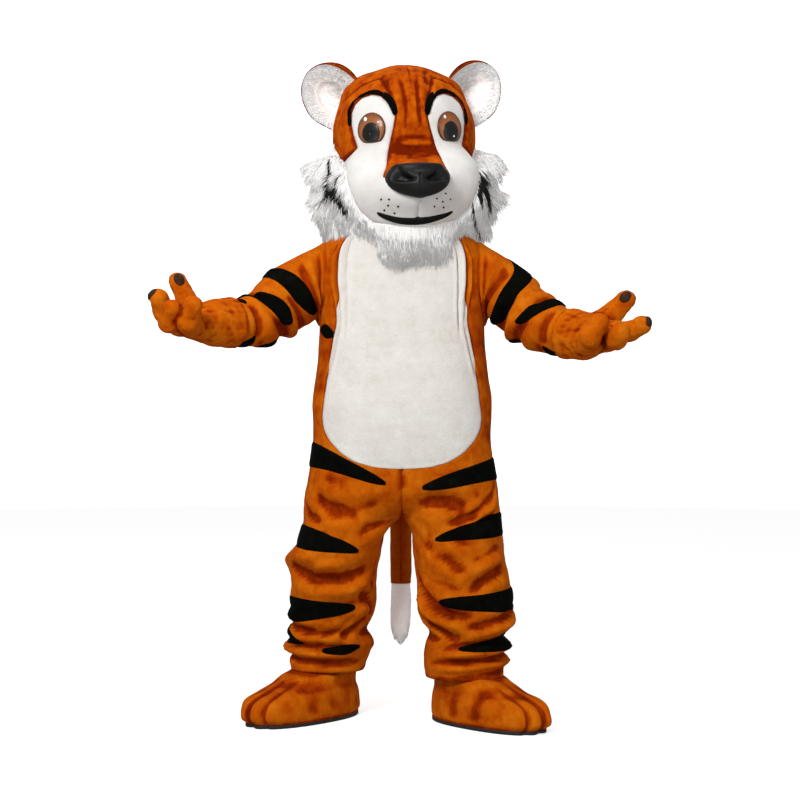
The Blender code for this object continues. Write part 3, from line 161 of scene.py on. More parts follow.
# a sleeve's centre line and radii, from the armhole to the wrist; x is the distance from the centre plane
SLEEVES = {
    RIGHT: table(
        "x y z up across",
        (0.240, 0.000, 1.275, 0.125, 0.075),
        (0.288, -0.012, 1.265, 0.096, 0.088),
        (0.322, -0.030, 1.237, 0.096, 0.088),
        (0.358, -0.055, 1.205, 0.088, 0.084),
        (0.400, -0.095, 1.172, 0.077, 0.076),
        (0.449, -0.140, 1.158, 0.068, 0.068),
        (0.497, -0.185, 1.154, 0.055, 0.055),
    ),
    LEFT: table(
        "x y z up across",
        (0.240, 0.000, 1.275, 0.125, 0.075),
        (0.292, -0.012, 1.262, 0.093, 0.088),
        (0.322, -0.030, 1.226, 0.087, 0.086),
        (0.352, -0.055, 1.191, 0.083, 0.082),
        (0.392, -0.095, 1.160, 0.080, 0.077),
        (0.438, -0.140, 1.135, 0.069, 0.069),
        (0.486, -0.185, 1.122, 0.055, 0.055),
    ),
}
ARMHOLE_BLEND = 0.35  # share of the sleeve over which its armhole turns into a round tube

# stripes on the suit: a lens round its outer side, from its front tip over the side seam to its back tip
BODY_STRIPES = table(
    "side front_turn front_height side_height back_turn back_height half_width",
    (RIGHT, -0.93, 0.706, 0.783, 0.55, 0.730, 0.027),
    (RIGHT, -0.655, 0.512, 0.552, 0.45, 0.530, 0.024),
    (RIGHT, -0.66, 0.345, 0.334, 0.45, 0.345, 0.028),
    (RIGHT, -0.29, 0.236, 0.252, 0.40, 0.245, 0.020),
    (RIGHT, -0.73, 0.224, 0.216, -0.46, 0.213, 0.011),
    (LEFT, -0.91, 0.694, 0.742, 0.55, 0.720, 0.026),
    (LEFT, -0.685, 0.546, 0.584, 0.45, 0.560, 0.025),
    (LEFT, -0.675, 0.364, 0.366, 0.45, 0.372, 0.026),
    (LEFT, -0.56, 0.230, 0.244, 0.40, 0.240, 0.016),
    (RIGHT, -0.46, 1.124, 1.136, -0.18, 1.142, 0.015),
)
BODY_STRIPE_NAMES = (
    "stripe_hip_right stripe_thigh_right stripe_knee_right stripe_ankle_right stripe_ankle_inner_right "
    "stripe_hip_left stripe_thigh_left stripe_knee_left stripe_ankle_left stripe_side_right"
).split()
# stripes on a sleeve: a lens from one (share of the length, angle) to another; 0 is the front, 90 the top
SLEEVE_STRIPES = table(
    "side start_share start_angle mid_share mid_angle end_share end_angle half_width",
    (RIGHT, 0.315, -44, 0.375, 30, 0.37, 148, 0.023),
    (RIGHT, 0.61, -24, 0.66, 40, 0.82, 112, 0.018),
    (RIGHT, 0.865, 55, 0.872, 82, 0.875, 120, 0.0075),
    (RIGHT, 0.84, -38, 0.87, -80, 0.875, -150, 0.010),
    (RIGHT, 0.69, -50, 0.71, -85, 0.72, -150, 0.010),
    (LEFT, 0.385, -58, 0.40, 25, 0.17, 128, 0.023),
    (LEFT, 0.63, -8, 0.72, 42, 0.77, 120, 0.016),
    (LEFT, 0.57, -58, 0.585, -90, 0.61, -150, 0.010),
    (LEFT, 0.84, -42, 0.87, -78, 0.875, -150, 0.010),
)
SLEEVE_STRIPE_NAMES = (
    "stripe_upper_right stripe_fore_right stripe_wrist_right stripe_wrist_under_right stripe_elbow_right "
    "stripe_upper_left stripe_fore_left stripe_elbow_left stripe_wrist_under_left"
).split()
SLEEVE_LENGTH = 0.33  # metres of sleeve from the armhole to the wrist

# each glove's bones: from a joint (x0, y0, z0) to the next, with a radius at each end
# x is measured from the centre plane
HANDS = {
    RIGHT: table(
        "x0 y0 z0 r0 x1 y1 z1 r1",
        (0.440, -0.134, 1.158, 0.078, 0.520, -0.205, 1.155, 0.066),
        (0.520, -0.205, 1.155, 0.060, 0.580, -0.185, 1.158, 0.036),
        (0.520, -0.205, 1.155, 0.060, 0.622, -0.228, 1.155, 0.034),
        (0.520, -0.205, 1.155, 0.060, 0.608, -0.262, 1.148, 0.034),
        (0.520, -0.205, 1.155, 0.060, 0.572, -0.285, 1.145, 0.034),
        (0.580, -0.185, 1.158, 0.036, 0.602, -0.165, 1.215, 0.028),
        (0.602, -0.165, 1.215, 0.028, 0.628, -0.168, 1.271, 0.027),
        (0.622, -0.228, 1.155, 0.034, 0.655, -0.262, 1.180, 0.028),
        (0.655, -0.262, 1.180, 0.028, 0.666, -0.288, 1.219, 0.026),
        (0.608, -0.262, 1.148, 0.032, 0.632, -0.322, 1.152, 0.028),
        (0.632, -0.322, 1.152, 0.028, 0.620, -0.352, 1.186, 0.027),
        (0.572, -0.285, 1.145, 0.032, 0.578, -0.345, 1.150, 0.028),
        (0.578, -0.345, 1.150, 0.028, 0.562, -0.362, 1.194, 0.027),
    ),
    LEFT: table(
        "x0 y0 z0 r0 x1 y1 z1 r1",
        (0.430, -0.136, 1.136, 0.080, 0.506, -0.205, 1.118, 0.067),
        (0.506, -0.205, 1.118, 0.060, 0.552, -0.178, 1.145, 0.040),
        (0.506, -0.205, 1.118, 0.060, 0.588, -0.232, 1.122, 0.036),
        (0.506, -0.205, 1.118, 0.060, 0.560, -0.265, 1.106, 0.036),
        (0.506, -0.205, 1.118, 0.060, 0.518, -0.290, 1.100, 0.036),
        (0.552, -0.178, 1.150, 0.038, 0.594, -0.168, 1.186, 0.030),
        (0.594, -0.168, 1.186, 0.030, 0.628, -0.172, 1.222, 0.027),
        (0.588, -0.232, 1.122, 0.034, 0.628, -0.262, 1.130, 0.027),
        (0.628, -0.262, 1.130, 0.027, 0.656, -0.286, 1.144, 0.026),
        (0.560, -0.265, 1.106, 0.032, 0.580, -0.330, 1.104, 0.028),
        (0.580, -0.330, 1.104, 0.028, 0.588, -0.358, 1.120, 0.027),
        (0.518, -0.290, 1.100, 0.032, 0.508, -0.345, 1.112, 0.028),
        (0.508, -0.345, 1.112, 0.028, 0.532, -0.352, 1.148, 0.027),
    ),
}
HAND_BLEND = 0.010  # how softly two bones' skins run into each other
CUFF_LAP = 0.028  # the glove's cuff reaches this far back over the sleeve
# a fingertip pad faces the wearer's palm: its digit's last bone, and the way it faces
PADS = {
    "thumb": {"bone": 6, "faces": (0.25, -0.95, 0.20)},
    "index": {"bone": 8, "faces": (-0.75, -0.45, 0.45)},
}
PAD_RADIUS = 0.011

FEET = {
    RIGHT: {"x": 0.226, "y": 0.140, "yaw": 45.0},
    LEFT: {"x": 0.184, "y": 0.050, "yaw": 45.0},
}
FOOT = {"half_length": 0.206, "half_width": 0.098, "centre_ahead": 0.098, "ankle": 0.080}
FOOT_PROFILE = table(
    "share reach height",
    (0.00, 0.960, 0.0125),
    (0.14, 1.000, 0.036),
    (0.28, 0.960, 0.062),
    (0.44, 0.820, 0.082),
    (0.58, 0.600, 0.099),
    (0.74, 0.310, 0.120),
    (0.87, 0.080, 0.139),
    (1.00, 0.000, 0.190),
)
TOE_GROOVES = table("angle depth width", (-22, 0.010, 6.0), (1, 0.010, 5.0), (24, 0.010, 6.0))

TAIL = table(
    "x y z radius",
    (-0.003, 0.1692, 0.795, 0.030),
    (-0.003, 0.192, 0.797, 0.034),
    (-0.003, 0.222, 0.788, 0.034),
    (-0.003, 0.237, 0.757, 0.034),
    (-0.003, 0.240, 0.690, 0.033),
    (-0.003, 0.238, 0.550, 0.033),
    (-0.003, 0.238, 0.385, 0.031),
)
TAIL_TIP = table(
    "x y z radius",
    (-0.003, 0.238, 0.3847, 0.029),
    (-0.003, 0.238, 0.330, 0.031),
    (-0.005, 0.234, 0.270, 0.030),
    (-0.005, 0.232, 0.232, 0.022),
    (-0.005, 0.231, 0.208, 0.004),
)

# the head, in its own frame, which is turned a little to the wearer's left
HEAD_CENTRE = np.array([0.010, 0.0, 1.665])
HEAD_YAW, HEAD_ROLL = 6.0, 2.0
HEAD_LUMPS = table(
    "x y z rx ry rz",
    (0.000, 0.030, 0.040, 0.203, 0.215, 0.204),
    (0.000, 0.030, -0.150, 0.190, 0.190, 0.280),
    (0.000, -0.180, -0.140, 0.120, 0.130, 0.086),
    (-0.100, -0.115, -0.120, 0.105, 0.115, 0.110),
    (0.100, -0.115, -0.120, 0.105, 0.115, 0.110),
    (0.000, -0.105, -0.205, 0.120, 0.125, 0.070),
    (-0.108, 0.030, 0.158, 0.055, 0.055, 0.044),
    (0.108, 0.030, 0.158, 0.055, 0.055, 0.044),
)
HEAD_BLEND = 0.045
NECK = {"elevation": -59.0, "front_drop": 3.0, "side_rise": 11.0}  # the ring sits over the shoulders
HEAD_EDGE_OF_FACE = 0.030  # the face pieces end this far behind the head's centre
# outlines of the face pieces seen from the front, as (distance from the centre plane, height)
BRIDGE = (
    (0.000, 0.205), (0.072, 0.190), (0.058, 0.140), (0.045, 0.100), (0.047, 0.066), (0.052, 0.040),
    (0.062, 0.000), (0.072, -0.040), (0.082, -0.080), (0.096, -0.106), (0.070, -0.125), (0.000, -0.125),
)  # fmt: skip
BROW_PANEL = (
    (0.072, 0.190), (0.125, 0.176), (0.177, 0.136), (0.200, 0.070), (0.202, 0.010), (0.184, -0.036),
    (0.150, -0.008), (0.160, 0.030), (0.164, 0.063), (0.161, 0.096), (0.151, 0.119), (0.130, 0.136),
    (0.104, 0.142), (0.082, 0.134), (0.067, 0.116), (0.057, 0.094), (0.047, 0.066), (0.045, 0.100),
    (0.058, 0.140),
)  # fmt: skip
FACE = (
    (0.000, 0.205), (0.072, 0.190), (0.125, 0.176), (0.177, 0.136), (0.200, 0.070), (0.202, 0.010),
    (0.186, -0.036), (0.190, -0.095), (0.184, -0.130), (0.170, -0.170), (0.150, -0.200), (0.118, -0.226),
    (0.060, -0.240), (0.000, -0.243),
)  # fmt: skip
RUFF = {"front": 36.0, "back": 128.0, "top": 0.040, "fall": 0.045, "reach": 0.072, "beard_reach": 0.028}

CHIN = -0.240  # the beard's fur grows out below this

EYE = {"x": 0.1087, "height": 0.039, "half_width": 0.036, "half_height": 0.046, "dome": 0.006}
PUPIL = {"drop": 0.013, "half_width": 0.0225, "half_height": 0.030, "dome": 0.0015}
NOSE = {"height": -0.121, "half_width": 0.081, "half_height": 0.051, "dome": 0.020}
BROW = table(
    "x height half_width",
    (0.1665, 0.052, 0.0030),
    (0.1650, 0.098, 0.0040),
    (0.1540, 0.1235, 0.0045),
    (0.1320, 0.1415, 0.0055),
    (0.1040, 0.1490, 0.0065),
    (0.0775, 0.1410, 0.0085),
    (0.0585, 0.1210, 0.0100),
    (0.0480, 0.0970, 0.0105),
    (0.0415, 0.0720, 0.0090),
)
MOUTH = table(
    "x height half_width",
    (-0.110, -0.2010, 0.0025),
    (-0.088, -0.2135, 0.0055),
    (-0.061, -0.2235, 0.0080),
    (-0.034, -0.2290, 0.0090),
    (-0.005, -0.2310, 0.0090),
    (0.022, -0.2290, 0.0090),
    (0.050, -0.2235, 0.0080),
    (0.080, -0.2145, 0.0055),
    (0.104, -0.2020, 0.0025),
)

EAR = {"x": 0.169, "y": 0.020, "height": 0.114, "rise": 0.055, "lean": 38.0, "turn": 16.0}
EAR_SHAPE = {"half_width": 0.083, "half_height": 0.104, "bowl": 0.040, "wall": 0.007, "lining": 0.012}


# ---------------------------------------------------------------- sizes of the looks

PANEL_ROWS, PANEL_WIDE = 190, 44
BELLY_ROWS, BELLY_WIDE = 120, 84
SLEEVE_FINE, SLEEVE_WIDE = 84, 84
FOOT_FINE, FOOT_WIDE = 52, 168
HEAD_FINE, HEAD_WIDE = 92, 176
SLEEVE_SINK = 0.012  # how far a sleeve's end turns in behind its armhole
HEM_DROP = 0.012  # the legs' hems hang this much over the feet
WORLD_LIGHT = 0.38
AREAS = {}
SEAM_DEPTH, SEAM_WIDTH = 0.0028, 0.0055  # the plush rolls down into a seam

# creases of the legs: each runs through three places (turn, height); depth is negative in a trough
LEG_CREASES = {
    RIGHT: table(
        "turn0 height0 turn1 height1 turn2 height2 width depth",
        (-0.30, 0.676, -0.48, 0.628, -0.97, 0.645, 0.020, -0.013),
        (-0.42, 0.600, -0.62, 0.605, -0.95, 0.612, 0.016, 0.007),
        (-0.10, 0.645, -0.20, 0.618, -0.40, 0.600, 0.012, -0.006),
        (-0.60, 0.560, -0.72, 0.578, -0.98, 0.600, 0.014, -0.009),
        (-0.02, 0.500, -0.33, 0.438, -0.80, 0.462, 0.017, -0.015),
        (-0.36, 0.452, -0.46, 0.466, -0.58, 0.458, 0.010, 0.007),
        (0.10, 0.468, -0.25, 0.500, -0.52, 0.505, 0.018, 0.006),
        (-0.40, 0.395, -0.62, 0.398, -0.86, 0.436, 0.015, 0.007),
        (-0.66, 0.392, -0.80, 0.360, -0.93, 0.310, 0.014, -0.008),
        (-0.42, 0.238, -0.56, 0.282, -0.72, 0.338, 0.010, -0.012),
        (-0.46, 0.256, -0.60, 0.300, -0.78, 0.352, 0.010, 0.008),
        (-0.55, 0.232, -0.70, 0.282, -0.90, 0.326, 0.011, -0.012),
        (0.10, 0.316, -0.18, 0.300, -0.42, 0.281, 0.010, 0.009),
        (-0.22, 0.286, -0.32, 0.277, -0.42, 0.276, 0.007, -0.009),
        (0.05, 0.285, -0.22, 0.256, -0.48, 0.236, 0.010, 0.010),
        (0.30, 0.258, -0.30, 0.226, -0.74, 0.228, 0.010, -0.015),
        (0.25, 0.232, -0.28, 0.204, -0.85, 0.208, 0.010, 0.010),
        (0.35, 0.205, -0.30, 0.183, -0.90, 0.176, 0.008, -0.010),
        (0.25, 0.670, 0.52, 0.640, 0.95, 0.655, 0.020, -0.011),
        (0.20, 0.560, 0.55, 0.530, 0.92, 0.560, 0.016, -0.009),
        (0.05, 0.470, 0.45, 0.432, 0.85, 0.455, 0.017, -0.014),
        (0.15, 0.420, 0.50, 0.395, 0.80, 0.402, 0.013, 0.007),
        (0.20, 0.345, 0.55, 0.370, 0.90, 0.335, 0.014, -0.009),
        (0.15, 0.275, 0.48, 0.300, 0.80, 0.270, 0.011, 0.009),
        (0.20, 0.255, 0.55, 0.272, 0.90, 0.240, 0.010, -0.013),
        (0.20, 0.215, 0.55, 0.225, 0.92, 0.205, 0.010, 0.010),
        (0.20, 0.192, 0.55, 0.190, 0.92, 0.180, 0.008, -0.010),
    ),
    LEFT: table(
        "turn0 height0 turn1 height1 turn2 height2 width depth",
        (-0.44, 0.604, -0.66, 0.646, -0.98, 0.643, 0.015, -0.013),
        (-0.36, 0.640, -0.50, 0.602, -0.66, 0.600, 0.012, -0.010),
        (-0.14, 0.690, -0.34, 0.622, -0.52, 0.596, 0.011, 0.008),
        (-0.20, 0.610, -0.34, 0.600, -0.50, 0.620, 0.011, -0.007),
        (-0.45, 0.446, -0.60, 0.494, -0.84, 0.560, 0.015, -0.011),
        (-0.52, 0.470, -0.68, 0.520, -0.90, 0.590, 0.013, 0.007),
        (-0.12, 0.462, -0.28, 0.446, -0.52, 0.406, 0.014, -0.014),
        (-0.10, 0.500, -0.30, 0.470, -0.50, 0.430, 0.013, 0.006),
        (-0.40, 0.322, -0.66, 0.342, -0.96, 0.452, 0.013, -0.013),
        (-0.46, 0.300, -0.72, 0.318, -0.96, 0.420, 0.013, 0.008),
        (0.05, 0.352, -0.26, 0.312, -0.62, 0.286, 0.010, -0.013),
        (0.05, 0.322, -0.26, 0.290, -0.60, 0.262, 0.011, 0.009),
        (-0.60, 0.268, -0.76, 0.290, -0.94, 0.330, 0.010, -0.008),
        (0.30, 0.262, -0.22, 0.246, -0.82, 0.222, 0.010, -0.015),
        (0.25, 0.232, -0.24, 0.224, -0.85, 0.200, 0.010, 0.010),
        (0.30, 0.212, -0.25, 0.201, -0.90, 0.180, 0.008, -0.013),
        (0.25, 0.186, -0.30, 0.180, -0.90, 0.158, 0.009, 0.008),
        (0.25, 0.660, 0.52, 0.632, 0.95, 0.648, 0.020, -0.011),
        (0.20, 0.545, 0.55, 0.525, 0.92, 0.565, 0.016, -0.009),
        (0.05, 0.455, 0.45, 0.425, 0.85, 0.470, 0.017, -0.014),
        (0.15, 0.405, 0.50, 0.388, 0.80, 0.410, 0.013, 0.007),
        (0.10, 0.350, 0.55, 0.345, 0.90, 0.325, 0.014, -0.010),
        (0.15, 0.285, 0.48, 0.295, 0.80, 0.275, 0.011, 0.009),
        (0.20, 0.250, 0.55, 0.262, 0.90, 0.235, 0.010, -0.013),
        (0.20, 0.205, 0.55, 0.215, 0.92, 0.195, 0.010, 0.009),
        (0.20, 0.178, 0.55, 0.185, 0.92, 0.170, 0.008, -0.010),
    ),
}
# creases of a sleeve: each runs through three places (angle in degrees, share of the length)
SLEEVE_CREASES = {
    RIGHT: table(
        "angle0 share0 angle1 share1 angle2 share2 width depth",
        (20, 0.055, 85, 0.055, 150, 0.050, 0.060, 0.021),
        (-70, 0.13, 10, 0.14, 120, 0.13, 0.030, -0.012),
        (-60, 0.20, 20, 0.18, 95, 0.12, 0.030, 0.008),
        (-65, 0.26, 5, 0.26, 60, 0.22, 0.028, -0.008),
        (-90, 0.42, -30, 0.47, 40, 0.50, 0.035, -0.012),
        (-110, 0.52, -60, 0.55, 0, 0.60, 0.028, 0.009),
        (-120, 0.58, -50, 0.62, 10, 0.70, 0.030, -0.009),
        (-100, 0.70, -40, 0.72, 30, 0.78, 0.030, 0.006),
        (20, 0.66, 70, 0.72, 120, 0.70, 0.030, -0.007),
        (-60, 0.84, 0, 0.82, 60, 0.86, 0.028, -0.008),
        (110, 0.18, 170, 0.24, 230, 0.20, 0.040, -0.009),
        (100, 0.40, 170, 0.46, 240, 0.42, 0.040, -0.009),
        (110, 0.62, 180, 0.60, 235, 0.66, 0.035, 0.007),
        (120, 0.82, 180, 0.78, 240, 0.84, 0.030, -0.008),
    ),
    LEFT: table(
        "angle0 share0 angle1 share1 angle2 share2 width depth",
        (20, 0.050, 85, 0.055, 150, 0.055, 0.060, 0.021),
        (-70, 0.12, 10, 0.13, 120, 0.14, 0.030, -0.012),
        (-60, 0.18, 20, 0.17, 95, 0.12, 0.030, 0.008),
        (-75, 0.28, 0, 0.26, 70, 0.24, 0.028, -0.008),
        (-80, 0.44, -20, 0.48, 50, 0.47, 0.035, -0.012),
        (-110, 0.50, -50, 0.55, 10, 0.60, 0.028, 0.009),
        (-120, 0.60, -60, 0.62, 10, 0.68, 0.030, -0.009),
        (-90, 0.72, -30, 0.75, 40, 0.76, 0.030, 0.006),
        (20, 0.70, 80, 0.68, 130, 0.74, 0.030, -0.007),
        (-50, 0.86, 10, 0.84, 70, 0.86, 0.028, -0.008),
        (110, 0.20, 170, 0.22, 230, 0.18, 0.040, -0.009),
        (100, 0.42, 170, 0.44, 240, 0.44, 0.040, -0.009),
        (110, 0.60, 180, 0.62, 235, 0.64, 0.035, 0.007),
        (120, 0.80, 180, 0.80, 240, 0.82, 0.030, -0.008),
    ),
}
STRIPE_GROW = 1.22
# folds that hang from the shoulders down the chest: each runs through three places (height, turn)
CHEST_FOLDS = table(
    "height0 turn0 height1 turn1 height2 turn2 width depth",
    (1.43, -0.50, 1.32, -0.500, 1.14, -0.52, 0.014, -0.012),
    (1.44, -0.55, 1.34, -0.548, 1.20, -0.56, 0.016, 0.010),
    (1.45, -0.60, 1.32, -0.595, 1.10, -0.58, 0.013, -0.011),
    (1.40, -0.46, 1.30, -0.462, 1.20, -0.48, 0.012, 0.008),
    (1.00, -0.40, 1.08, -0.470, 1.16, -0.52, 0.018, -0.007),
    (1.45, 0.62, 1.32, 0.600, 1.12, 0.58, 0.018, -0.010),
    (1.45, 0.80, 1.25, 0.780, 1.00, 0.80, 0.030, -0.008),
)
CREASE_WIDER, CREASE_DEEPER = 1.4, 1.7
# dark tufts in the ruff, seen from the front: (x, height) from the head's centre, with a radius
TUFTS = table(
    "x0 z0 x1 z1 radius",
    (-0.2200, -0.0320, -0.2190, -0.0850, 0.0045),
    (-0.2190, -0.0850, -0.2147, -0.1150, 0.0075),
    (-0.2147, -0.1150, -0.2256, -0.1420, 0.0060),
    (-0.2100, -0.1150, -0.1990, -0.1330, 0.0080),
    (-0.1990, -0.1330, -0.1790, -0.1720, 0.0080),
    (-0.1790, -0.1720, -0.1685, -0.1850, 0.0070),
    (-0.1900, -0.0950, -0.1934, -0.1540, 0.0040),
    (0.2227, -0.0858, 0.2198, -0.1166, 0.0050),
    (0.2198, -0.1166, 0.2370, -0.1547, 0.0065),
    (0.2198, -0.1166, 0.2112, -0.1596, 0.0050),
    (0.2420, -0.0692, 0.2563, -0.0907, 0.0035),
    (0.1870, -0.1834, 0.2135, -0.2357, 0.0025),
)
WHISKERS = (
    (-0.0999, -0.1691), (-0.0800, -0.1718), (-0.0815, -0.1867), (-0.0556, -0.1921), (-0.0902, -0.1975),
    (-0.0631, -0.2072), (0.0493, -0.1750), (0.0760, -0.1607), (0.0916, -0.1740), (0.0679, -0.1820),
    (0.0445, -0.1946), (0.0729, -0.1955),
)  # fmt: skip
BLACK_TONE = 1.0


# ---------------------------------------------------------------- creases


def creased(creases, along, across, wider=1.0, deeper=1.0, steep=1.0, profile_rim=0.35):
    """How far soft creases push the cloth out at (along, across)."""
    along, across = np.broadcast_arrays(np.asarray(along, float), np.asarray(across, float))
    out = np.zeros(along.shape)
    for a0, b0, a1, b1, a2, b2, width, depth in zip(*creases.values()):
        width = width * wider
        depth = np.clip(depth * deeper, -0.95 * width * steep, 0.75 * width * steep)
        at = np.clip(along, min(a0, a2), max(a0, a2))
        line = (
            b0 * (at - a1) * (at - a2) / ((a0 - a1) * (a0 - a2))
            + b1 * (at - a0) * (at - a2) / ((a1 - a0) * (a1 - a2))
            + b2 * (at - a0) * (at - a1) / ((a2 - a0) * (a2 - a1))
        )
        share = (along - a0) / (a2 - a0)
        fade = blend_in(share / 0.3) * blend_in((1 - share) / 0.3)
        away = (across - line) / width
        shape = np.exp(-(away**2)) - profile_rim * np.exp(-(((np.abs(away) - 1.9) / 0.9) ** 2))
        out += depth * fade * shape
    return out


WAVES = np.random.default_rng(7).normal(size=(9, 3))
WAVE_SHIFTS = np.random.default_rng(8).uniform(0, 6.28, 9)


def ripple(points, size):
    """A smooth unevenness between about -1 and 1, with swells about this far apart."""
    waves = WAVES / np.linalg.norm(WAVES, axis=1, keepdims=True) * (2 * math.pi / size)
    waves = waves * np.linspace(0.6, 1.5, len(waves))[:, None]
    return np.sin(points @ waves.T + WAVE_SHIFTS).mean(axis=-1) * 1.8


def creases_at(side, height, turn, x, y):
    """How far the suit's creases and its unevenness push the cloth out."""
    below = blend_in((0.86 - height) / 0.16)
    place = np.stack([side * x, y, height], axis=-1)
    uneven = 0.0030 * ripple(place, 0.13) + 0.0012 * ripple(place, 0.05)
    legs = creased(LEG_CREASES[side], turn, height, CREASE_WIDER, CREASE_DEEPER)
    return legs + creased(CHEST_FOLDS, height, turn, 1.0, 1.5, 0.9) + uneven * (0.45 + 0.55 * below)


# ---------------------------------------------------------------- curves and surfaces


def smooth(knots, values, at):
    """The cubic curve through a table's rows, read at any place between its ends."""
    knots, values = np.asarray(knots, float), np.asarray(values, float)
    slopes = np.gradient(values, knots, axis=0)
    at = np.clip(np.asarray(at, float), knots[0], knots[-1])
    i = np.clip(np.searchsorted(knots, at, side="right") - 1, 0, len(knots) - 2)
    step = knots[i + 1] - knots[i]
    t = (at - knots[i]) / step
    if values.ndim > 1:
        step, t = step[..., None], t[..., None]
    return (
        (1 + 2 * t) * (1 - t) ** 2 * values[i]
        + t * (1 - t) ** 2 * step * slopes[i]
        + t**2 * (3 - 2 * t) * values[i + 1]
        + t**2 * (t - 1) * step * slopes[i + 1]
    )


def unit(vectors):
    return vectors / np.maximum(np.linalg.norm(vectors, axis=-1, keepdims=True), 1e-12)


def rounded(value, power):
    return np.sign(value) * np.abs(value) ** power


def blend_in(t):
    t = np.clip(t, 0.0, 1.0)
    return t * t * (3 - 2 * t)


def folds_at(side, height, turn):
    """How far the largest folds push the cloth out."""
    out = np.zeros(np.broadcast(height, turn).shape)
    f = FOLDS[side]
    for h, t, slope, length, width, depth in zip(*f.values()):
        across = (height - h - slope * (turn - t)) / width
        along = (turn - t) / length
        out += depth * np.exp(-(across**2) - along**2)
    return out


def body(side, height, turn):
    """Outer face of half the suit. turn goes from -1, at the centre front or the inseam, over 0, at the side
    seam, to 1, at the centre back or the inseam."""
    height, turn = np.broadcast_arrays(np.asarray(height, float), np.asarray(turn, float))
    leg = LEGS[side]
    inner, outer, front, back = (
        smooth(leg["height"], leg[c], height) for c in ("inner", "outer", "front", "back")
    )
    around = turn * math.pi
    leg_x = (outer + inner) / 2 + (outer - inner) / 2 * rounded(np.cos(around), LEG_POWER)
    leg_y = (front + back) / 2 + (back - front) / 2 * rounded(np.sin(around), LEG_POWER)
    half_width, belly, seat = (
        smooth(TRUNK["height"], TRUNK[c], height) for c in ("half_width", "front", "back")
    )
    trunk_x = half_width * rounded(np.cos(around / 2), TRUNK_POWER)
    trunk_y = np.where(turn < 0, belly, seat) * rounded(np.sin(around / 2), TRUNK_POWER)
    climb = np.clip((height - CROTCH) / RISE, 0, 1)
    sharp = 1 - np.sqrt(1 - (1 - climb) ** 2)  # 1 on the leg, 0 on the trunk
    gentle = 1 - blend_in((height - CROTCH + HIP_REACH) / (2 * HIP_REACH))
    at_inseam = np.abs(turn) ** 4
    split = sharp * at_inseam + gentle * (1 - at_inseam)
    x = trunk_x + (leg_x - trunk_x) * split
    y = trunk_y + (leg_y - trunk_y) * split
    push = 0.5 * folds_at(side, height, turn) + creases_at(side, height, turn, x, y)
    angle = around * (0.5 + 0.5 * split)
    return np.stack([side * (x + push * np.cos(angle)), y + push * np.sin(angle), height], axis=-1)


def armhole_depth(height):
    """How far the armhole reaches from the side seam's plane to the front and the back at this height."""
    level = (height - ARMHOLE["height"]) / ARMHOLE["half_height"]
    return ARMHOLE["half_depth"] * np.sqrt(np.clip(1 - level**2, 0, 1))


def turn_of_depth(depth, height, column):
    """The turn at which the trunk's front or back stands this deep from the centre."""
    share = np.clip(depth / smooth(TRUNK["height"], TRUNK[column], height), 0, 1)
    return np.arcsin(share ** (1 / TRUNK_POWER)) / (math.pi / 2)


def belly_turn(height):
    """The turn of the belly panel's edge, or the centre front below it."""
    half_width = smooth(BELLY["height"], BELLY["half_width"], height)
    share = np.clip(half_width / smooth(TRUNK["height"], TRUNK["half_width"], height), 0, 1)
    edge = np.arccos(share ** (1 / TRUNK_POWER)) / (math.pi / 2)
    return np.where(height < BELLY["height"][0] - EPSILON, 1.0, edge)


def sleeve(side, share, angle):
    """Outer face of a sleeve: share runs from armhole to wrist, angle 0 is the front and pi/2 the top."""
    share, angle = np.broadcast_arrays(np.asarray(share, float), np.asarray(angle, float))
    s = SLEEVES[side]
    knots = np.linspace(0, 1, len(s["x"]))
    line = np.stack([side * s["x"], s["y"], s["z"]], axis=-1)

    def centre(at):
        return smooth(knots, line, at)

    within = np.clip(share, 10 * EPSILON, 1 - 10 * EPSILON)
    forward = unit(centre(within + EPSILON) - centre(within - EPSILON))
    up = np.array([0, 0, 1.0]) - forward * forward[..., 2:3]
    up = unit(up)
    ahead = np.array([0, -1.0, 0]) + forward * forward[..., 1:2] + up * up[..., 1:2]
    ahead = unit(ahead)
    tall, deep = smooth(knots, s["up"], share), smooth(knots, s["across"], share)
    outward = ahead * np.cos(angle)[..., None] + up * np.sin(angle)[..., None]
    tube = (
        centre(share)
        + ahead * (deep * np.cos(angle))[..., None]
        + up * (tall * np.sin(angle))[..., None]
    )
    degrees = (np.degrees(angle) + 125) % 360 - 125
    push = creased(SLEEVE_CREASES[side], degrees, share, 1.1, 1.8, 0.33) + 0.0025 * ripple(tube, 0.09)
    tube = tube + outward * (push * blend_in((1 - share) / 0.12))[..., None]
    height = ARMHOLE["height"] + ARMHOLE["half_height"] * np.sin(angle)
    depth = ARMHOLE["half_depth"] * np.abs(np.cos(angle))
    turn = np.where(
        np.cos(angle) > 0, -turn_of_depth(depth, height, "front"), turn_of_depth(depth, height, "back")
    )
    weight = blend_in(share / ARMHOLE_BLEND)[..., None]
    return body(side, height, turn) * (1 - weight) + tube * weight


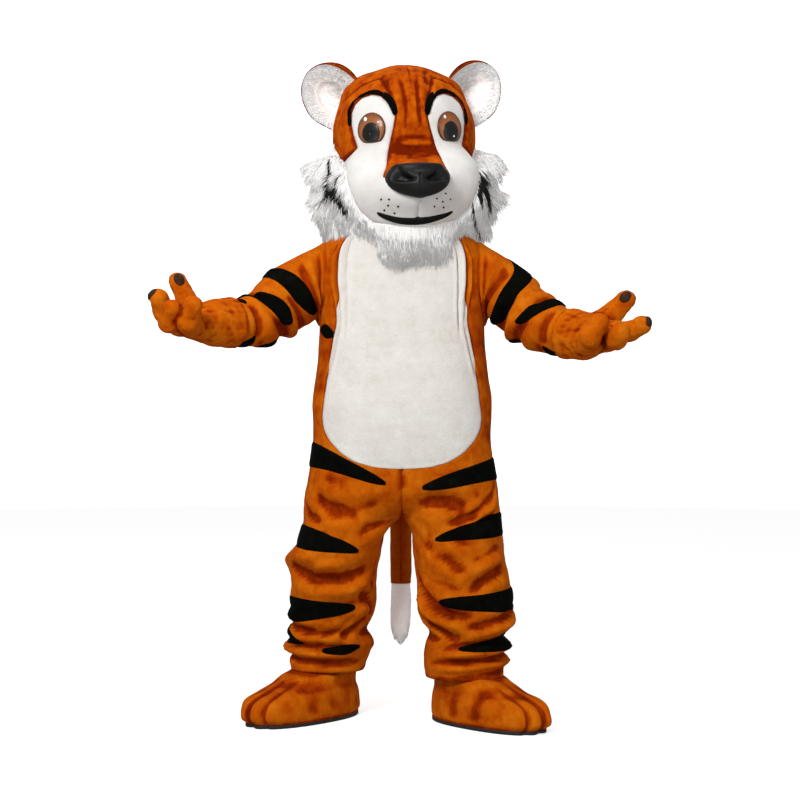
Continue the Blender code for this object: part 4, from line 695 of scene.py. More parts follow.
def foot(side, share, angle):
    """Outer face of a foot cover; share runs from the sole's edge to the ankle, angle 0 points ahead."""
    share, angle = np.broadcast_arrays(np.asarray(share, float), np.asarray(angle, float))
    place = FEET[side]
    degrees = np.degrees((angle + math.pi) % (2 * math.pi) - math.pi)
    groove = sum(
        depth * np.exp(-(((degrees - at) / width) ** 2))
        for at, depth, width in zip(*TOE_GROOVES.values())
    )
    ahead = FOOT["centre_ahead"] + FOOT["half_length"] * rounded(np.cos(angle), 0.9)
    aside = FOOT["half_width"] * rounded(np.sin(angle), 0.8)
    ankle_ahead, ankle_aside = FOOT["ankle"] * np.cos(angle), FOOT["ankle"] * np.sin(angle)
    reach = smooth(FOOT_PROFILE["share"], FOOT_PROFILE["reach"], share)
    height = smooth(FOOT_PROFILE["share"], FOOT_PROFILE["height"], share)
    reach = reach * (1 - groove * blend_in((1 - share) / 0.5) / FOOT["half_length"])
    u = ankle_ahead + (ahead - ankle_ahead) * reach
    v = ankle_aside + (aside - ankle_aside) * reach
    yaw = math.radians(place["yaw"])
    x = place["x"] + u * math.sin(yaw) + v * math.cos(yaw)
    y = place["y"] - u * math.cos(yaw) + v * math.sin(yaw)
    return np.stack([side * x, y, height], axis=-1)


def soft_min(a, b, k):
    h = np.clip(0.5 + 0.5 * (b - a) / k, 0, 1)
    return b + (a - b) * h - k * h * (1 - h)


def head_distance(points):
    """About how far a point of the head's frame lies outside the head."""
    lumps = HEAD_LUMPS
    total = None
    for x, y, z, rx, ry, rz in zip(*lumps.values()):
        radii = np.array([rx, ry, rz])
        q = (points - np.array([x, y, z])) / radii
        k = np.linalg.norm(q, axis=-1)
        d = k * (k - 1) / np.maximum(np.linalg.norm(q / radii, axis=-1), 1e-9)
        total = d if total is None else soft_min(total, d, HEAD_BLEND)
    return total


def gradient(distance, points):
    steps = EPSILON * np.eye(3)
    return unit(np.stack([distance(points + s) - distance(points - s) for s in steps], axis=-1))


def march(distance, start, direction, steps=60):
    """Walks from start along direction until it meets the surface."""
    at = np.array(start, float)
    for _ in range(steps):
        at = at + direction * distance(at)[..., None] * 0.9
    return at


def head_ray(azimuth, elevation):
    """The head's surface in a direction from its centre; azimuth 0 is the front, 90 the wearer's left."""
    direction = np.stack(
        [np.sin(azimuth) * np.cos(elevation), -np.cos(azimuth) * np.cos(elevation), np.sin(elevation)],
        axis=-1,
    )
    return march(head_distance, direction * 0.6, -direction)


def turn_head(vectors):
    """From directions in the head's frame, which looks along -Y, to the costume's."""
    yaw, roll = math.radians(HEAD_YAW), math.radians(HEAD_ROLL)
    tilt = np.array([[math.cos(roll), 0, -math.sin(roll)], [0, 1, 0], [math.sin(roll), 0, math.cos(roll)]])
    swing = np.array([[math.cos(yaw), -math.sin(yaw), 0], [math.sin(yaw), math.cos(yaw), 0], [0, 0, 1]])
    return vectors @ (swing @ tilt).T


def place_on_head(points, normals):
    """Points and normals of the head's frame, in the costume's."""
    return turn_head(points) + HEAD_CENTRE, turn_head(normals)


def inside(outline, x, z):
    """Whether (x, z) lies inside a closed outline."""
    x, z = np.broadcast_arrays(np.asarray(x, float), np.asarray(z, float))
    found = np.zeros(x.shape, bool)
    for (x0, z0), (x1, z1) in zip(outline, outline[1:] + outline[:1]):
        crosses = (z0 > z) != (z1 > z)
        span = z1 - z0 if z1 != z0 else 1e-12
        found ^= crosses & (x < x0 + (z - z0) * (x1 - x0) / span)
    return found


def ruff_top(azimuth):
    """The height of the ruff's upper edge, which falls away behind the ears."""
    return RUFF["top"] - RUFF["fall"] * blend_in((azimuth - 80) / 50)


def head_piece(points):
    """The number of the piece that a point of the head belongs to, in HEAD_PIECES' order."""
    x, y, z = points[..., 0], points[..., 1], points[..., 2]
    side = np.where(x < 0, 0, 1)
    azimuth = np.degrees(np.arctan2(np.abs(x), -y))
    piece = np.zeros(x.shape, int)
    ruff = (z < ruff_top(azimuth)) & (azimuth < RUFF["back"])
    piece = np.where(ruff, 6 + side, piece)
    piece = np.where(ruff & (azimuth < RUFF["front"]), 8, piece)
    front = y < HEAD_EDGE_OF_FACE
    piece = np.where(front & inside(FACE, np.abs(x), z), 4 + side, piece)
    piece = np.where(front & inside(BROW_PANEL, np.abs(x), z), 2 + side, piece)
    return np.where(front & inside(BRIDGE, np.abs(x), z), 1, piece)


HEAD_PIECES = (
    "head_hood forehead_bridge brow_panel_right brow_panel_left face_right face_left "
    "ruff_right ruff_left beard"
).split()




# ---------------------------------------------------------------- meshes


def grid_quads(rows, columns, around=False):
    """The quads of a net, given as a list of rows; around joins its last column to its first."""
    r, c = np.meshgrid(np.arange(rows - 1), np.arange(columns if around else columns - 1), indexing="ij")
    r, c = r.ravel(), c.ravel()
    after = (c + 1) % columns
    low, high = r * columns, (r + 1) * columns
    return np.stack([low + c, low + after, high + after, high + c], axis=1)


def rim_of(faces, count):
    """The directed edges that only one face uses."""
    start, end = faces.ravel(), np.roll(faces, -1, axis=1).ravel()
    key, back = start * count + end, end * count + start
    alone = ~np.isin(key, back)
    return start[alone], end[alone]


def facing(points, normals, faces):
    """The faces, turned so that they look the way the normals do."""
    corners = points[faces]
    across = np.cross(corners[:, 1] - corners[:, 0], corners[:, 2] - corners[:, 0])
    return faces if (across * normals[faces[:, 0]]).sum() > 0 else faces[:, ::-1]


def hollows(points, normals, faces, steps=14):
    """How deep each corner lies in a hollow of the cloth: about 1 in a sharp fold and -1 on a ridge."""
    start, end = faces.ravel(), np.roll(faces, -1, axis=1).ravel()
    a, b = np.concatenate([start, end]), np.concatenate([end, start])
    count = np.maximum(np.bincount(a, minlength=len(points)), 1)[:, None]
    eased = points.copy()
    for _ in range(steps):
        total = [np.bincount(a, weights=eased[b, k], minlength=len(points)) for k in range(3)]
        eased = np.stack(total, axis=1) / count
    return ((eased - points) * normals).sum(axis=1)


def new_mesh(name, points, faces, tones=None):
    mesh = bpy.data.meshes.new(name)
    sides = faces.shape[1]
    mesh.vertices.add(len(points))
    mesh.vertices.foreach_set("co", np.ascontiguousarray(points, np.float32).ravel())
    mesh.loops.add(faces.size)
    mesh.loops.foreach_set("vertex_index", np.ascontiguousarray(faces, np.int32).ravel())
    mesh.polygons.add(len(faces))
    mesh.polygons.foreach_set("loop_start", np.arange(0, faces.size, sides, dtype=np.int32))
    mesh.update(calc_edges=True)
    mesh.validate()
    for word, values in (tones or {}).items():
        flat = values.ndim == 1
        layer = mesh.attributes.new(word, "FLOAT" if flat else "FLOAT_VECTOR", "POINT")
        numbers = np.ascontiguousarray(values, np.float32).ravel()
        layer.data.foreach_set("value" if flat else "vector", numbers)
    return mesh


def piece(name, mesh, look, slot, *nodes):
    """Puts a piece in the scene, in the part's frame, in place of its CAD nodes."""
    mesh.shade_smooth()
    mesh.materials.append(look)
    obj = bpy.data.objects.new(name, mesh)
    bpy.context.scene.collection.objects.link(obj)
    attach(obj, "root")
    if nodes:
        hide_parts(*nodes)
    return obj


def lowered(points):
    return points - np.array([0, 0, HELD_HEIGHT])


def shell(name, points, normals, faces, thick, look, slot, nodes=(), scale=0.006, extra=None):
    """A closed thin shell whose outer side is the given net."""
    faces = facing(points, normals, faces)
    n = len(points)
    # painted shade: this value, how deep each corner lies in a crease of the cloth, is used by the plush
    # looks to paint the colour darker there
    fold = np.clip(hollows(points, normals, faces) / scale * 10, -1.5, 1.5)
    inner = points - normals * np.broadcast_to(np.asarray(thick, float), (n,))[:, None]
    a, b = rim_of(faces, n)
    both = np.concatenate([points, inner])
    if faces.shape[1] == 4:
        rim = np.stack([b, a, n + a, n + b], axis=1)
    else:
        rim = np.concatenate([np.stack([b, a, n + a], axis=1), np.stack([b, n + a, n + b], axis=1)])
    every = np.concatenate([faces, faces[:, ::-1] + n, rim])
    corners = points[faces]
    half = np.cross(corners[:, 1] - corners[:, 0], corners[:, 2] - corners[:, 0])
    if faces.shape[1] == 4:
        half = half + np.cross(corners[:, 2] - corners[:, 0], corners[:, 3] - corners[:, 0])
    AREAS[name] = float(np.linalg.norm(half, axis=1).sum() / 2)
    tones = {"fold": np.concatenate([fold, fold]), "lie": np.concatenate([normals, -normals])}
    for word, values in (extra or {}).items():
        tones[word] = np.concatenate([values, values])
    return piece(name, new_mesh(name, lowered(both), every, tones), look, slot, *nodes)


def normals_of(surface, u, v, outward_of=None):
    """The net's points and unit normals, pointing away from outward_of."""
    points = surface(u, v)
    along = surface(u + EPSILON, v) - surface(u - EPSILON, v)
    across = surface(u, v + EPSILON) - surface(u, v - EPSILON)
    normals = unit(np.cross(along, across))
    sign = np.sign(((points - outward_of) * normals).sum())
    return points, normals * sign


def seam_dip(points, rows_too=False, around=False):
    """How far the plush rolls down towards the seams at a net's side edges, or at its other edges too."""
    dip = np.zeros(points.shape[:2])
    if not around:
        step = np.linalg.norm(np.diff(points, axis=1), axis=-1)
        far = np.concatenate([np.zeros((len(step), 1)), np.cumsum(step, axis=1)], axis=1)
        near = np.minimum(far, far[:, -1:] - far)
        dip = np.exp(-((near / SEAM_WIDTH) ** 2))
    if rows_too:
        step = np.linalg.norm(np.diff(points, axis=0), axis=-1)
        far = np.concatenate([np.zeros((1, step.shape[1])), np.cumsum(step, axis=0)], axis=0)
        near = far if rows_too == "start" else np.minimum(far, far[-1:] - far)
        dip = np.maximum(dip, np.exp(-((near / SEAM_WIDTH) ** 2)))
    return dip * SEAM_DEPTH


def grid_shell(name, points, normals, thick, look, slot, nodes, around=False):
    """The shell of a net whose points are in rows and columns."""
    quads = grid_quads(*points.shape[:2], around)
    return shell(name, points.reshape(-1, 3), normals.reshape(-1, 3), quads, thick, look, slot, nodes)


def net_shell(name, surface, u, v, look, slot, nodes, outward_of, around=False, rows_too=False, lift=0.0):
    points, normals = normals_of(surface, u, v, outward_of)
    rise = lift - seam_dip(points, rows_too, around)
    points = points + normals * rise[..., None]
    return grid_shell(name, points, normals, CLOTH, look, slot, nodes, around)


def above(x, y, height):
    """The places over (x, y, 0) at the given heights."""
    return np.array([x, y, 0]) + np.array([0, 0, 1.0]) * height[..., None]


def ring_grid(rows, columns):
    """Shares along a tube and angles round it."""
    return np.meshgrid(np.linspace(0, 1, rows), np.arange(columns) * 2 * math.pi / columns, indexing="ij")


# ---------------------------------------------------------------- materials


class Nodes:
    """Builds a material's node tree with short calls."""

    def __init__(self, name):
        self.material = bpy.data.materials.new(name)
        self.material.use_nodes = True
        self.tree = self.material.node_tree
        self.shader = self.tree.nodes["Principled BSDF"]

    def add(self, kind, **settings):
        node = self.tree.nodes.new(kind)
        for key, value in settings.items():
            setattr(node, key, value)
        return node

    def link(self, value, socket):
        if isinstance(value, bpy.types.NodeSocket):
            self.tree.links.new(value, socket)
        else:
            socket.default_value = value

    def place(self):
        return self.add("ShaderNodeTexCoord").outputs["Object"]

    def stretched(self, scale):
        node = self.add("ShaderNodeMapping")
        self.link(self.place(), node.inputs["Vector"])
        node.inputs["Scale"].default_value = scale
        return node.outputs["Vector"]

    def noise(self, scale, detail=3.0, vector=None, roughness=0.55, distortion=0.0):
        node = self.add("ShaderNodeTexNoise")
        self.link(vector or self.place(), node.inputs["Vector"])
        node.inputs["Scale"].default_value = scale
        node.inputs["Detail"].default_value = detail
        node.inputs["Roughness"].default_value = roughness
        node.inputs["Distortion"].default_value = distortion
        return node.outputs["Fac"]

    def value(self, attribute):
        return self.add("ShaderNodeAttribute", attribute_name=attribute).outputs["Fac"]

    def math(self, operation, a, b=0.0, c=0.0):
        node = self.add("ShaderNodeMath", operation=operation)
        for value, socket in zip((a, b, c), node.inputs):
            self.link(value, socket)
        return node.outputs[0]

    def ramp(self, value, *stops):
        """A colour or grey ramp through (position, colour) stops."""
        node = self.add("ShaderNodeValToRGB")
        self.link(value, node.inputs["Fac"])
        ramp = node.color_ramp
        while len(ramp.elements) < len(stops):
            ramp.elements.new(0.5)
        for element, (position, colour) in zip(ramp.elements, stops):
            element.position = position
            element.color = (*colour, 1) if isinstance(colour, tuple) else (colour, colour, colour, 1)
        return node.outputs["Color"]

    def mix(self, share, a, b):
        node = self.add("ShaderNodeMix", data_type="RGBA")
        self.link(share, node.inputs["Factor"])
        for value, socket in ((a, node.inputs[6]), (b, node.inputs[7])):
            self.link((*value, 1) if isinstance(value, tuple) else value, socket)
        return node.outputs[2]

    def bump(self, height, strength, distance, under=None):
        node = self.add("ShaderNodeBump")
        node.inputs["Strength"].default_value = strength
        node.inputs["Distance"].default_value = distance
        self.link(height, node.inputs["Height"])
        if under:
            self.link(under, node.inputs["Normal"])
        return node.outputs["Normal"]

    def finish(
        self, colour, roughness, normal=None, sheen=0.0, sheen_tint=None, sheen_roughness=0.4, coat=0.0,
        shine=0.3, glow=0.0,
    ):
        shader = self.shader
        if glow:
            self.link(colour, shader.inputs["Emission Color"])
            shader.inputs["Emission Strength"].default_value = glow
        self.link((*colour, 1) if isinstance(colour, tuple) else colour, shader.inputs["Base Color"])
        shader.inputs["Roughness"].default_value = roughness
        if normal:
            self.link(normal, shader.inputs["Normal"])
        shader.inputs["Sheen Weight"].default_value = sheen
        shader.inputs["Sheen Roughness"].default_value = sheen_roughness
        if sheen_tint:
            shader.inputs["Sheen Tint"].default_value = (*sheen_tint, 1)
        shader.inputs["Coat Weight"].default_value = coat
        shader.inputs["Specular IOR Level"].default_value = shine
        return self.material


def orange_plush(name, patch, stroke, strong, shade):
    """Short dense plush: its nap lies in patches that catch the light or turn away from it, and it is painted
    darker in creases, as painted shade.
    """
    n = Nodes(name)
    patches = n.noise(patch, 3.0, n.stretched((1.0, 1.0, 0.85)), 0.55, 0.5)
    strokes = n.noise(stroke, 4.0, n.stretched((1.0, 1.0, 0.75)), 0.62, 0.5)
    lay = n.math("ADD", n.math("MULTIPLY", patches, 0.55), n.math("MULTIPLY", strokes, 0.45))
    lay = n.math("ADD", n.math("MULTIPLY", n.math("SUBTRACT", lay, 0.5), strong), 0.5 - shade)
    # painted shade: the colour is darker where the cloth lies deep in a crease
    lay = n.math("SUBTRACT", lay, n.math("MULTIPLY", n.value("fold"), 0.12))
    colour = n.ramp(
        lay,
        (0.22, (0.170, 0.0125, 0.0002)),
        (0.40, (0.320, 0.0330, 0.0004)),
        (0.52, (0.440, 0.0620, 0.0006)),
        (0.68, (0.560, 0.1080, 0.0015)),
        (0.85, (0.660, 0.1700, 0.0050)),
    )
    pile = n.noise(420.0, 3.0, n.stretched((1.0, 1.0, 0.35)), 0.7)
    clumps = n.noise(120.0, 2.0, n.stretched((1.0, 1.0, 0.5)), 0.6)
    normal = n.bump(pile, 0.35, 0.0012, n.bump(clumps, 0.30, 0.0022, n.bump(strokes, 0.30, 0.004)))
    tint = (1.0, 0.30, 0.02)
    return n.finish(colour, 0.95, normal, sheen=0.10, sheen_tint=tint, sheen_roughness=0.3, shine=0.03)


def white_plush():
    """White plush with a soft, uneven nap, painted darker in creases as painted shade."""
    n = Nodes("white_plush_nap")
    patches = n.noise(16.0, 4.0, n.stretched((1.0, 1.0, 0.7)), 0.6, 0.7)
    strokes = n.noise(70.0, 4.0, None, 0.65, 1.2)
    lay = n.math("ADD", n.math("MULTIPLY", patches, 0.5), n.math("MULTIPLY", strokes, 0.5))
    # painted shade: the colour is darker where the cloth lies deep in a crease
    lay = n.math("SUBTRACT", lay, n.math("MULTIPLY", n.value("fold"), 0.08))
    colour = n.ramp(
        lay, (0.28, (0.66, 0.610, 0.545)), (0.50, (0.765, 0.725, 0.670)), (0.72, (0.83, 0.80, 0.76))
    )
    pile = n.noise(330.0, 3.0, None, 0.7)
    normal = n.bump(pile, 0.45, 0.0016, n.bump(strokes, 0.45, 0.0045))
    return n.finish(colour, 0.95, normal, sheen=0.08, sheen_tint=(1.0, 0.97, 0.93))


def white_pile():
    """Short, even white pile of the face, painted a little darker in creases as painted shade."""
    n = Nodes("white_face_pile")
    patches = n.noise(22.0, 3.0, None, 0.55)
    # painted shade: the colour is a little darker where the pile lies deep in a crease
    lay = n.math("SUBTRACT", patches, n.math("MULTIPLY", n.value("fold"), 0.06))
    colour = n.ramp(
        lay, (0.30, (0.72, 0.69, 0.655)), (0.52, (0.785, 0.760, 0.730)), (0.75, (0.83, 0.81, 0.785))
    )
    pile = n.noise(520.0, 3.0, None, 0.7)
    normal = n.bump(pile, 0.30, 0.0010, n.bump(n.noise(90.0, 3.0, None, 0.6), 0.2, 0.003))
    return n.finish(colour, 0.95, normal, sheen=0.06, sheen_tint=(1.0, 0.98, 0.95))


def white_fur():
    """Long hair: each lock is painted darker at its root, as painted shade among the hairs, and tone 1 is
    black.
    """
    n = Nodes("white_long_fur")
    tone, root = n.value("tone"), n.value("root")
    patches = n.noise(30.0, 2.0)
    pale = n.math("ADD", n.math("MULTIPLY", patches, 0.3), 0.62)
    # painted shade: the root value darkens the white at the hairs' roots, on the fur backing and in the ear's
    # hollow; it also carries each lock's own random tone
    white = n.ramp(
        n.math("SUBTRACT", pale, n.math("MULTIPLY", root, 0.45)),
        (0.05, (0.30, 0.27, 0.245)),
        (0.30, (0.70, 0.665, 0.625)),
        (0.50, (0.86, 0.835, 0.805)),
        (0.75, (0.93, 0.92, 0.905)),
    )
    colour = n.mix(n.ramp(tone, (0.45, 0.0), (0.60, 1.0)), white, (0.012, 0.012, 0.010))
    strands = n.noise(900.0, 2.0, n.stretched((1.0, 1.0, 0.15)))
    lie = n.add("ShaderNodeAttribute", attribute_name="lie").outputs["Vector"]
    # painted light: the fur glows a little with its own colour, standing in for light that passes through the
    # hair
    return n.finish(colour, 0.8, n.bump(strands, 0.35, 0.0008, lie), shine=0.12, glow=0.22)


def black_plush():
    n = Nodes("black_plush_nap")
    patches = n.noise(34.0, 3.0, None, 0.6, 0.6)
    colour = n.ramp(
        patches,
        (0.30, (0.0010, 0.0010, 0.0006)),
        (0.62, (0.0028, 0.0030, 0.0018)),
        (0.80, (0.0060, 0.0063, 0.0045)),
    )
    pile = n.noise(420.0, 3.0, n.stretched((1.0, 1.0, 0.4)), 0.7)
    normal = n.bump(pile, 0.35, 0.0012, n.bump(n.noise(90.0, 2.0), 0.25, 0.003))
    return n.finish(colour, 0.95, normal, shine=0.04)


def brown_pad():
    n = Nodes("brown_pad_pile")
    colour = n.ramp(n.noise(120.0, 3.0), (0.3, (0.020, 0.007, 0.002)), (0.7, (0.062, 0.024, 0.008)))
    normal = n.bump(n.noise(600.0, 3.0), 0.5, 0.0008)
    return n.finish(colour, 0.75, normal, shine=0.2)


def sole_rubber():
    n = Nodes("black_sole_rubber")
    colour = n.ramp(n.noise(60.0, 4.0), (0.3, (0.008, 0.0075, 0.007)), (0.75, (0.030, 0.028, 0.026)))
    normal = n.bump(n.noise(700.0, 2.0), 0.35, 0.0006)
    return n.finish(colour, 0.6, normal)


def iris_gloss():
    """A painted eye: dark rim, warm brown body, lighter towards the pupil and the lower side."""
    n = Nodes("brown_iris_gloss")
    ring = n.value("ring")
    colour = n.ramp(
        ring,
        (0.00, (0.42, 0.150, 0.045)),
        (0.62, (0.40, 0.135, 0.036)),
        (0.82, (0.30, 0.085, 0.020)),
        (0.93, (0.150, 0.034, 0.009)),
        (0.955, (0.004, 0.003, 0.002)),
    )
    streaks = n.noise(110.0, 3.0, None, 0.6, 0.4)
    shaded = n.mix(n.ramp(n.value("high"), (0.45, 0.0), (1.0, 0.62)), colour, (0.13, 0.022, 0.006))
    final = n.mix(n.math("MULTIPLY", streaks, 0.25), shaded, (0.40, 0.17, 0.06))
    return n.finish(final, 0.35, coat=0.15)


def pupil_gloss():
    n = Nodes("black_pupil_gloss")
    colour = n.ramp(n.value("ring"), (0.3, (0.0035, 0.0038, 0.0042)), (0.95, (0.010, 0.007, 0.005)))
    return n.finish(colour, 0.35, coat=0.15)


def glint():
    n = Nodes("white_glint_paint")
    colour = n.ramp(n.noise(300.0), (0.3, (0.90, 0.88, 0.86)), (0.7, (0.97, 0.96, 0.95)))
    return n.finish(colour, 0.25, coat=0.4)


def nose_vinyl():
    """Satin black vinyl with a fine grain, painted blacker in the nostrils and the middle groove as painted
    shade.
    """
    n = Nodes("black_nose_vinyl")
    colour = n.ramp(n.noise(40.0, 3.0), (0.3, (0.0030, 0.0029, 0.0027)), (0.75, (0.0075, 0.0072, 0.0067)))
    # painted shade: the vinyl is painted blacker inside the nostrils and the groove
    colour = n.mix(n.ramp(n.value("hole"), (0.35, 0.0), (0.75, 1.0)), colour, (0.0006, 0.0006, 0.0006))
    grain = n.add("ShaderNodeTexVoronoi")
    n.link(n.place(), grain.inputs["Vector"])
    grain.inputs["Scale"].default_value = 700.0
    normal = n.bump(grain.outputs["Distance"], 0.22, 0.0005)
    return n.finish(colour, 0.5, normal, shine=0.25)


def mouth_felt():
    n = Nodes("black_mouth_felt")
    colour = n.ramp(n.noise(80.0, 3.0), (0.3, (0.004, 0.004, 0.003)), (0.8, (0.016, 0.015, 0.013)))
    return n.finish(colour, 0.9, n.bump(n.noise(500.0, 3.0), 0.4, 0.0008), shine=0.1)


ORANGE_LOOK = orange_plush("orange_plush_nap", 13.0, 46.0, 1.0, 0.0)
HEAD_LOOK = orange_plush("orange_head_nap", 20.0, 48.0, 1.35, 0.12)
WHITE_LOOK = white_plush()
FACE_LOOK = white_pile()
FUR_LOOK = white_fur()
BLACK_LOOK = black_plush()
PAD_LOOK = brown_pad()
SOLE_LOOK = sole_rubber()
IRIS_LOOK = iris_gloss()
PUPIL_LOOK = pupil_gloss()
GLINT_LOOK = glint()
NOSE_LOOK = nose_vinyl()
MOUTH_LOOK = mouth_felt()


# ---------------------------------------------------------------- the suit


def panel_net(which, heights, columns):
    """A panel's heights and turns, from the side seam or the armhole to the belly or the centre."""
    column, sign = ("front", -1) if which == "front" else ("back", 1)
    start = turn_of_depth(armhole_depth(heights), heights, column)
    end = belly_turn(heights) if which == "front" else np.ones(len(heights))
    share = np.linspace(0, 1, columns)
    turn = sign * (start[:, None] * (1 - share) + end[:, None] * share)
    return np.repeat(heights[:, None], columns, axis=1), turn


def spread_rows(low, high, count, *kept):
    """Even heights with certain ones met exactly."""
    rows = np.linspace(low, high, count)
    for height in kept:
        rows[np.argmin(np.abs(rows - height))] = height
    return rows


def panel(word, side, which):
    low = LEGS[side]["height"][0] - HEM_DROP
    top = ARMHOLE["height"] + ARMHOLE["half_height"]
    bottom = ARMHOLE["height"] - ARMHOLE["half_height"]
    rows = spread_rows(low, SUIT_TOP, PANEL_ROWS, CROTCH, BELLY["height"][0], bottom, top)
    extra = bottom + (top - bottom) * (1 - np.cos(np.pi * np.linspace(0, 1, 14))) / 2
    rows = np.unique(np.concatenate([rows, extra[1:-1], BELLY["height"][1:3]]))
    height, turn = panel_net(which, rows, PANEL_WIDE)
    return net_shell(
        f"plush_{which}_{word}", lambda u, v: body(side, u, v), height, turn, ORANGE_LOOK, "orange_plush",
        [f"suit_{which}_{word}"], above(side * 0.14, 0.02, height), rows_too="start",
    )  # fmt: skip


def belly():
    """The white panel: each row runs over the centre front from one front panel's edge to the other's."""
    rows = np.linspace(BELLY["height"][0], SUIT_TOP, BELLY_ROWS)
    rows = np.unique(np.concatenate([rows, BELLY["height"][1:4]]))
    edge = belly_turn(rows)
    share = np.linspace(-1, 1, BELLY_WIDE)
    across = share * (1 - edge[:, None])
    height = np.repeat(rows[:, None], BELLY_WIDE, axis=1)

    def surface(h, a):
        return np.where((a < 0)[..., None], body(RIGHT, h, np.abs(a) - 1), body(LEFT, h, np.abs(a) - 1))

    return net_shell(
        "plush_belly", surface, height, across, WHITE_LOOK, "white_plush", ["belly_panel"],
        above(0, 0.03, height), rows_too=True, lift=0.0015,
    )  # fmt: skip


def full_sleeve(word, side):
    """A sleeve; before the armhole it turns into the body, so that no gap shows at the seam."""
    share, angle = ring_grid(SLEEVE_FINE, SLEEVE_WIDE)
    opposite = sleeve(side, share, angle + math.pi)
    points, normals = normals_of(lambda u, v: sleeve(side, u, v), share, angle, opposite)
    points = points - normals * seam_dip(points, "start", around=True)[..., None]
    sunk = points[:1] + np.array([-side, 0, 0]) * SLEEVE_SINK - normals[:1] * 0.002
    points = np.concatenate([sunk, points])
    normals = np.concatenate([normals[:1], normals])
    return grid_shell(
        f"plush_sleeve_{word}", points, normals, CLOTH, ORANGE_LOOK, "orange_plush", [f"sleeve_{word}"], True
    )


def three_point(start, middle, end, share):
    """The curve through three values at the shares 0, 0.5 and 1."""
    first = (1 - share) * (1 - 2 * share)
    last = share * (2 * share - 1)
    return start * first + middle * 4 * share * (1 - share) + end * last


STRIPE_LONG, STRIPE_ACROSS = 60, 11
SEWN_ON = 0.0022  # thickness of a stripe or a pad


def stripe(name, surface, along, across, width):
    """A sewn-on band: along and across give its middle line in the surface's coordinates."""
    share, side_share = np.linspace(0, 1, STRIPE_LONG), np.linspace(-1, 1, STRIPE_ACROSS)
    share, side_share = np.meshgrid(share, side_share, indexing="ij")
    end = np.clip(share, 0.004, 0.996)
    full = (np.sin(np.pi * end) ** 0.42) * (1 + 0.10 * np.sin(2.3 * np.pi * end + len(name)))
    u, v = surface["map"](along(share), across(share), side_share * full * width)
    opposite = surface["opposite"](u, v)
    points, normals = normals_of(surface["at"], u, v, opposite)
    rise = 0.0008 + 0.0030 * np.sqrt(np.clip(1 - (side_share**6), 0, 1)) * np.clip(full * 3, 0.15, 1)
    points = points + normals * rise[..., None]
    return grid_shell(f"plush_{name}", points, normals, SEWN_ON, BLACK_LOOK, "black_plush", [name])


def stripes():
    made = {}
    for name, row in zip(BODY_STRIPE_NAMES, zip(*BODY_STRIPES.values())):
        side, turn0, height0, height1, turn2, height2, half_width = row
        surface = {
            "map": lambda a, b, w: (b + w, a),
            "at": lambda u, v, side=side: body(side, u, v),
            "opposite": lambda u, v, side=side: above(side * 0.16, 0.03, u),
        }
        made[name] = stripe(
            name, surface,
            lambda s, a=turn0, b=turn2: a + (b - a) * s,
            lambda s, a=height0, b=height1, c=height2: three_point(a, b, c, s),
            half_width * STRIPE_GROW,
        )  # fmt: skip
    for name, row in zip(SLEEVE_STRIPE_NAMES, zip(*SLEEVE_STRIPES.values())):
        side, share0, angle0, share1, angle1, share2, angle2, half_width = row
        surface = {
            "map": lambda a, b, w: (b + w, a),
            "at": lambda u, v, side=side: sleeve(side, u, v),
            "opposite": lambda u, v, side=side: sleeve(side, u, v + math.pi),
        }
        made[name] = stripe(
            name, surface,
            lambda s, a=angle0, b=angle1, c=angle2: np.radians(three_point(a, b, c, s)),
            lambda s, a=share0, b=share1, c=share2: three_point(a, b, c, s),
            half_width * STRIPE_GROW / SLEEVE_LENGTH,
        )  # fmt: skip
    return made


def rod_rings(sections, rows, columns, uneven):
    """A stuffed tube's points and normals through a table's sections, with a soft groove as its seam."""
    knots = np.linspace(0, 1, len(sections["x"]))
    at = np.linspace(0, 1, rows)
    line = np.stack([smooth(knots, sections[c], at) for c in "xyz"], axis=-1)
    radius = smooth(knots, sections["radius"], at)
    forward = unit(np.gradient(line, axis=0))
    side = np.array([1.0, 0, 0])
    up = unit(np.cross(forward, side))
    angle = np.arange(columns) * 2 * math.pi / columns
    normal = np.cos(angle)[None, :, None] * side + np.sin(angle)[None, :, None] * up[:, None]
    rings = line[:, None] + radius[:, None, None] * normal
    push = uneven * ripple(rings, 0.06)
    for seam in (math.pi / 2, -math.pi / 2):
        away = (angle - seam + math.pi) % (2 * math.pi) - math.pi
        push = push - 0.0035 * np.exp(-((away / 0.13) ** 2))[None]
    return rings + push[..., None] * normal, np.broadcast_to(normal, rings.shape)


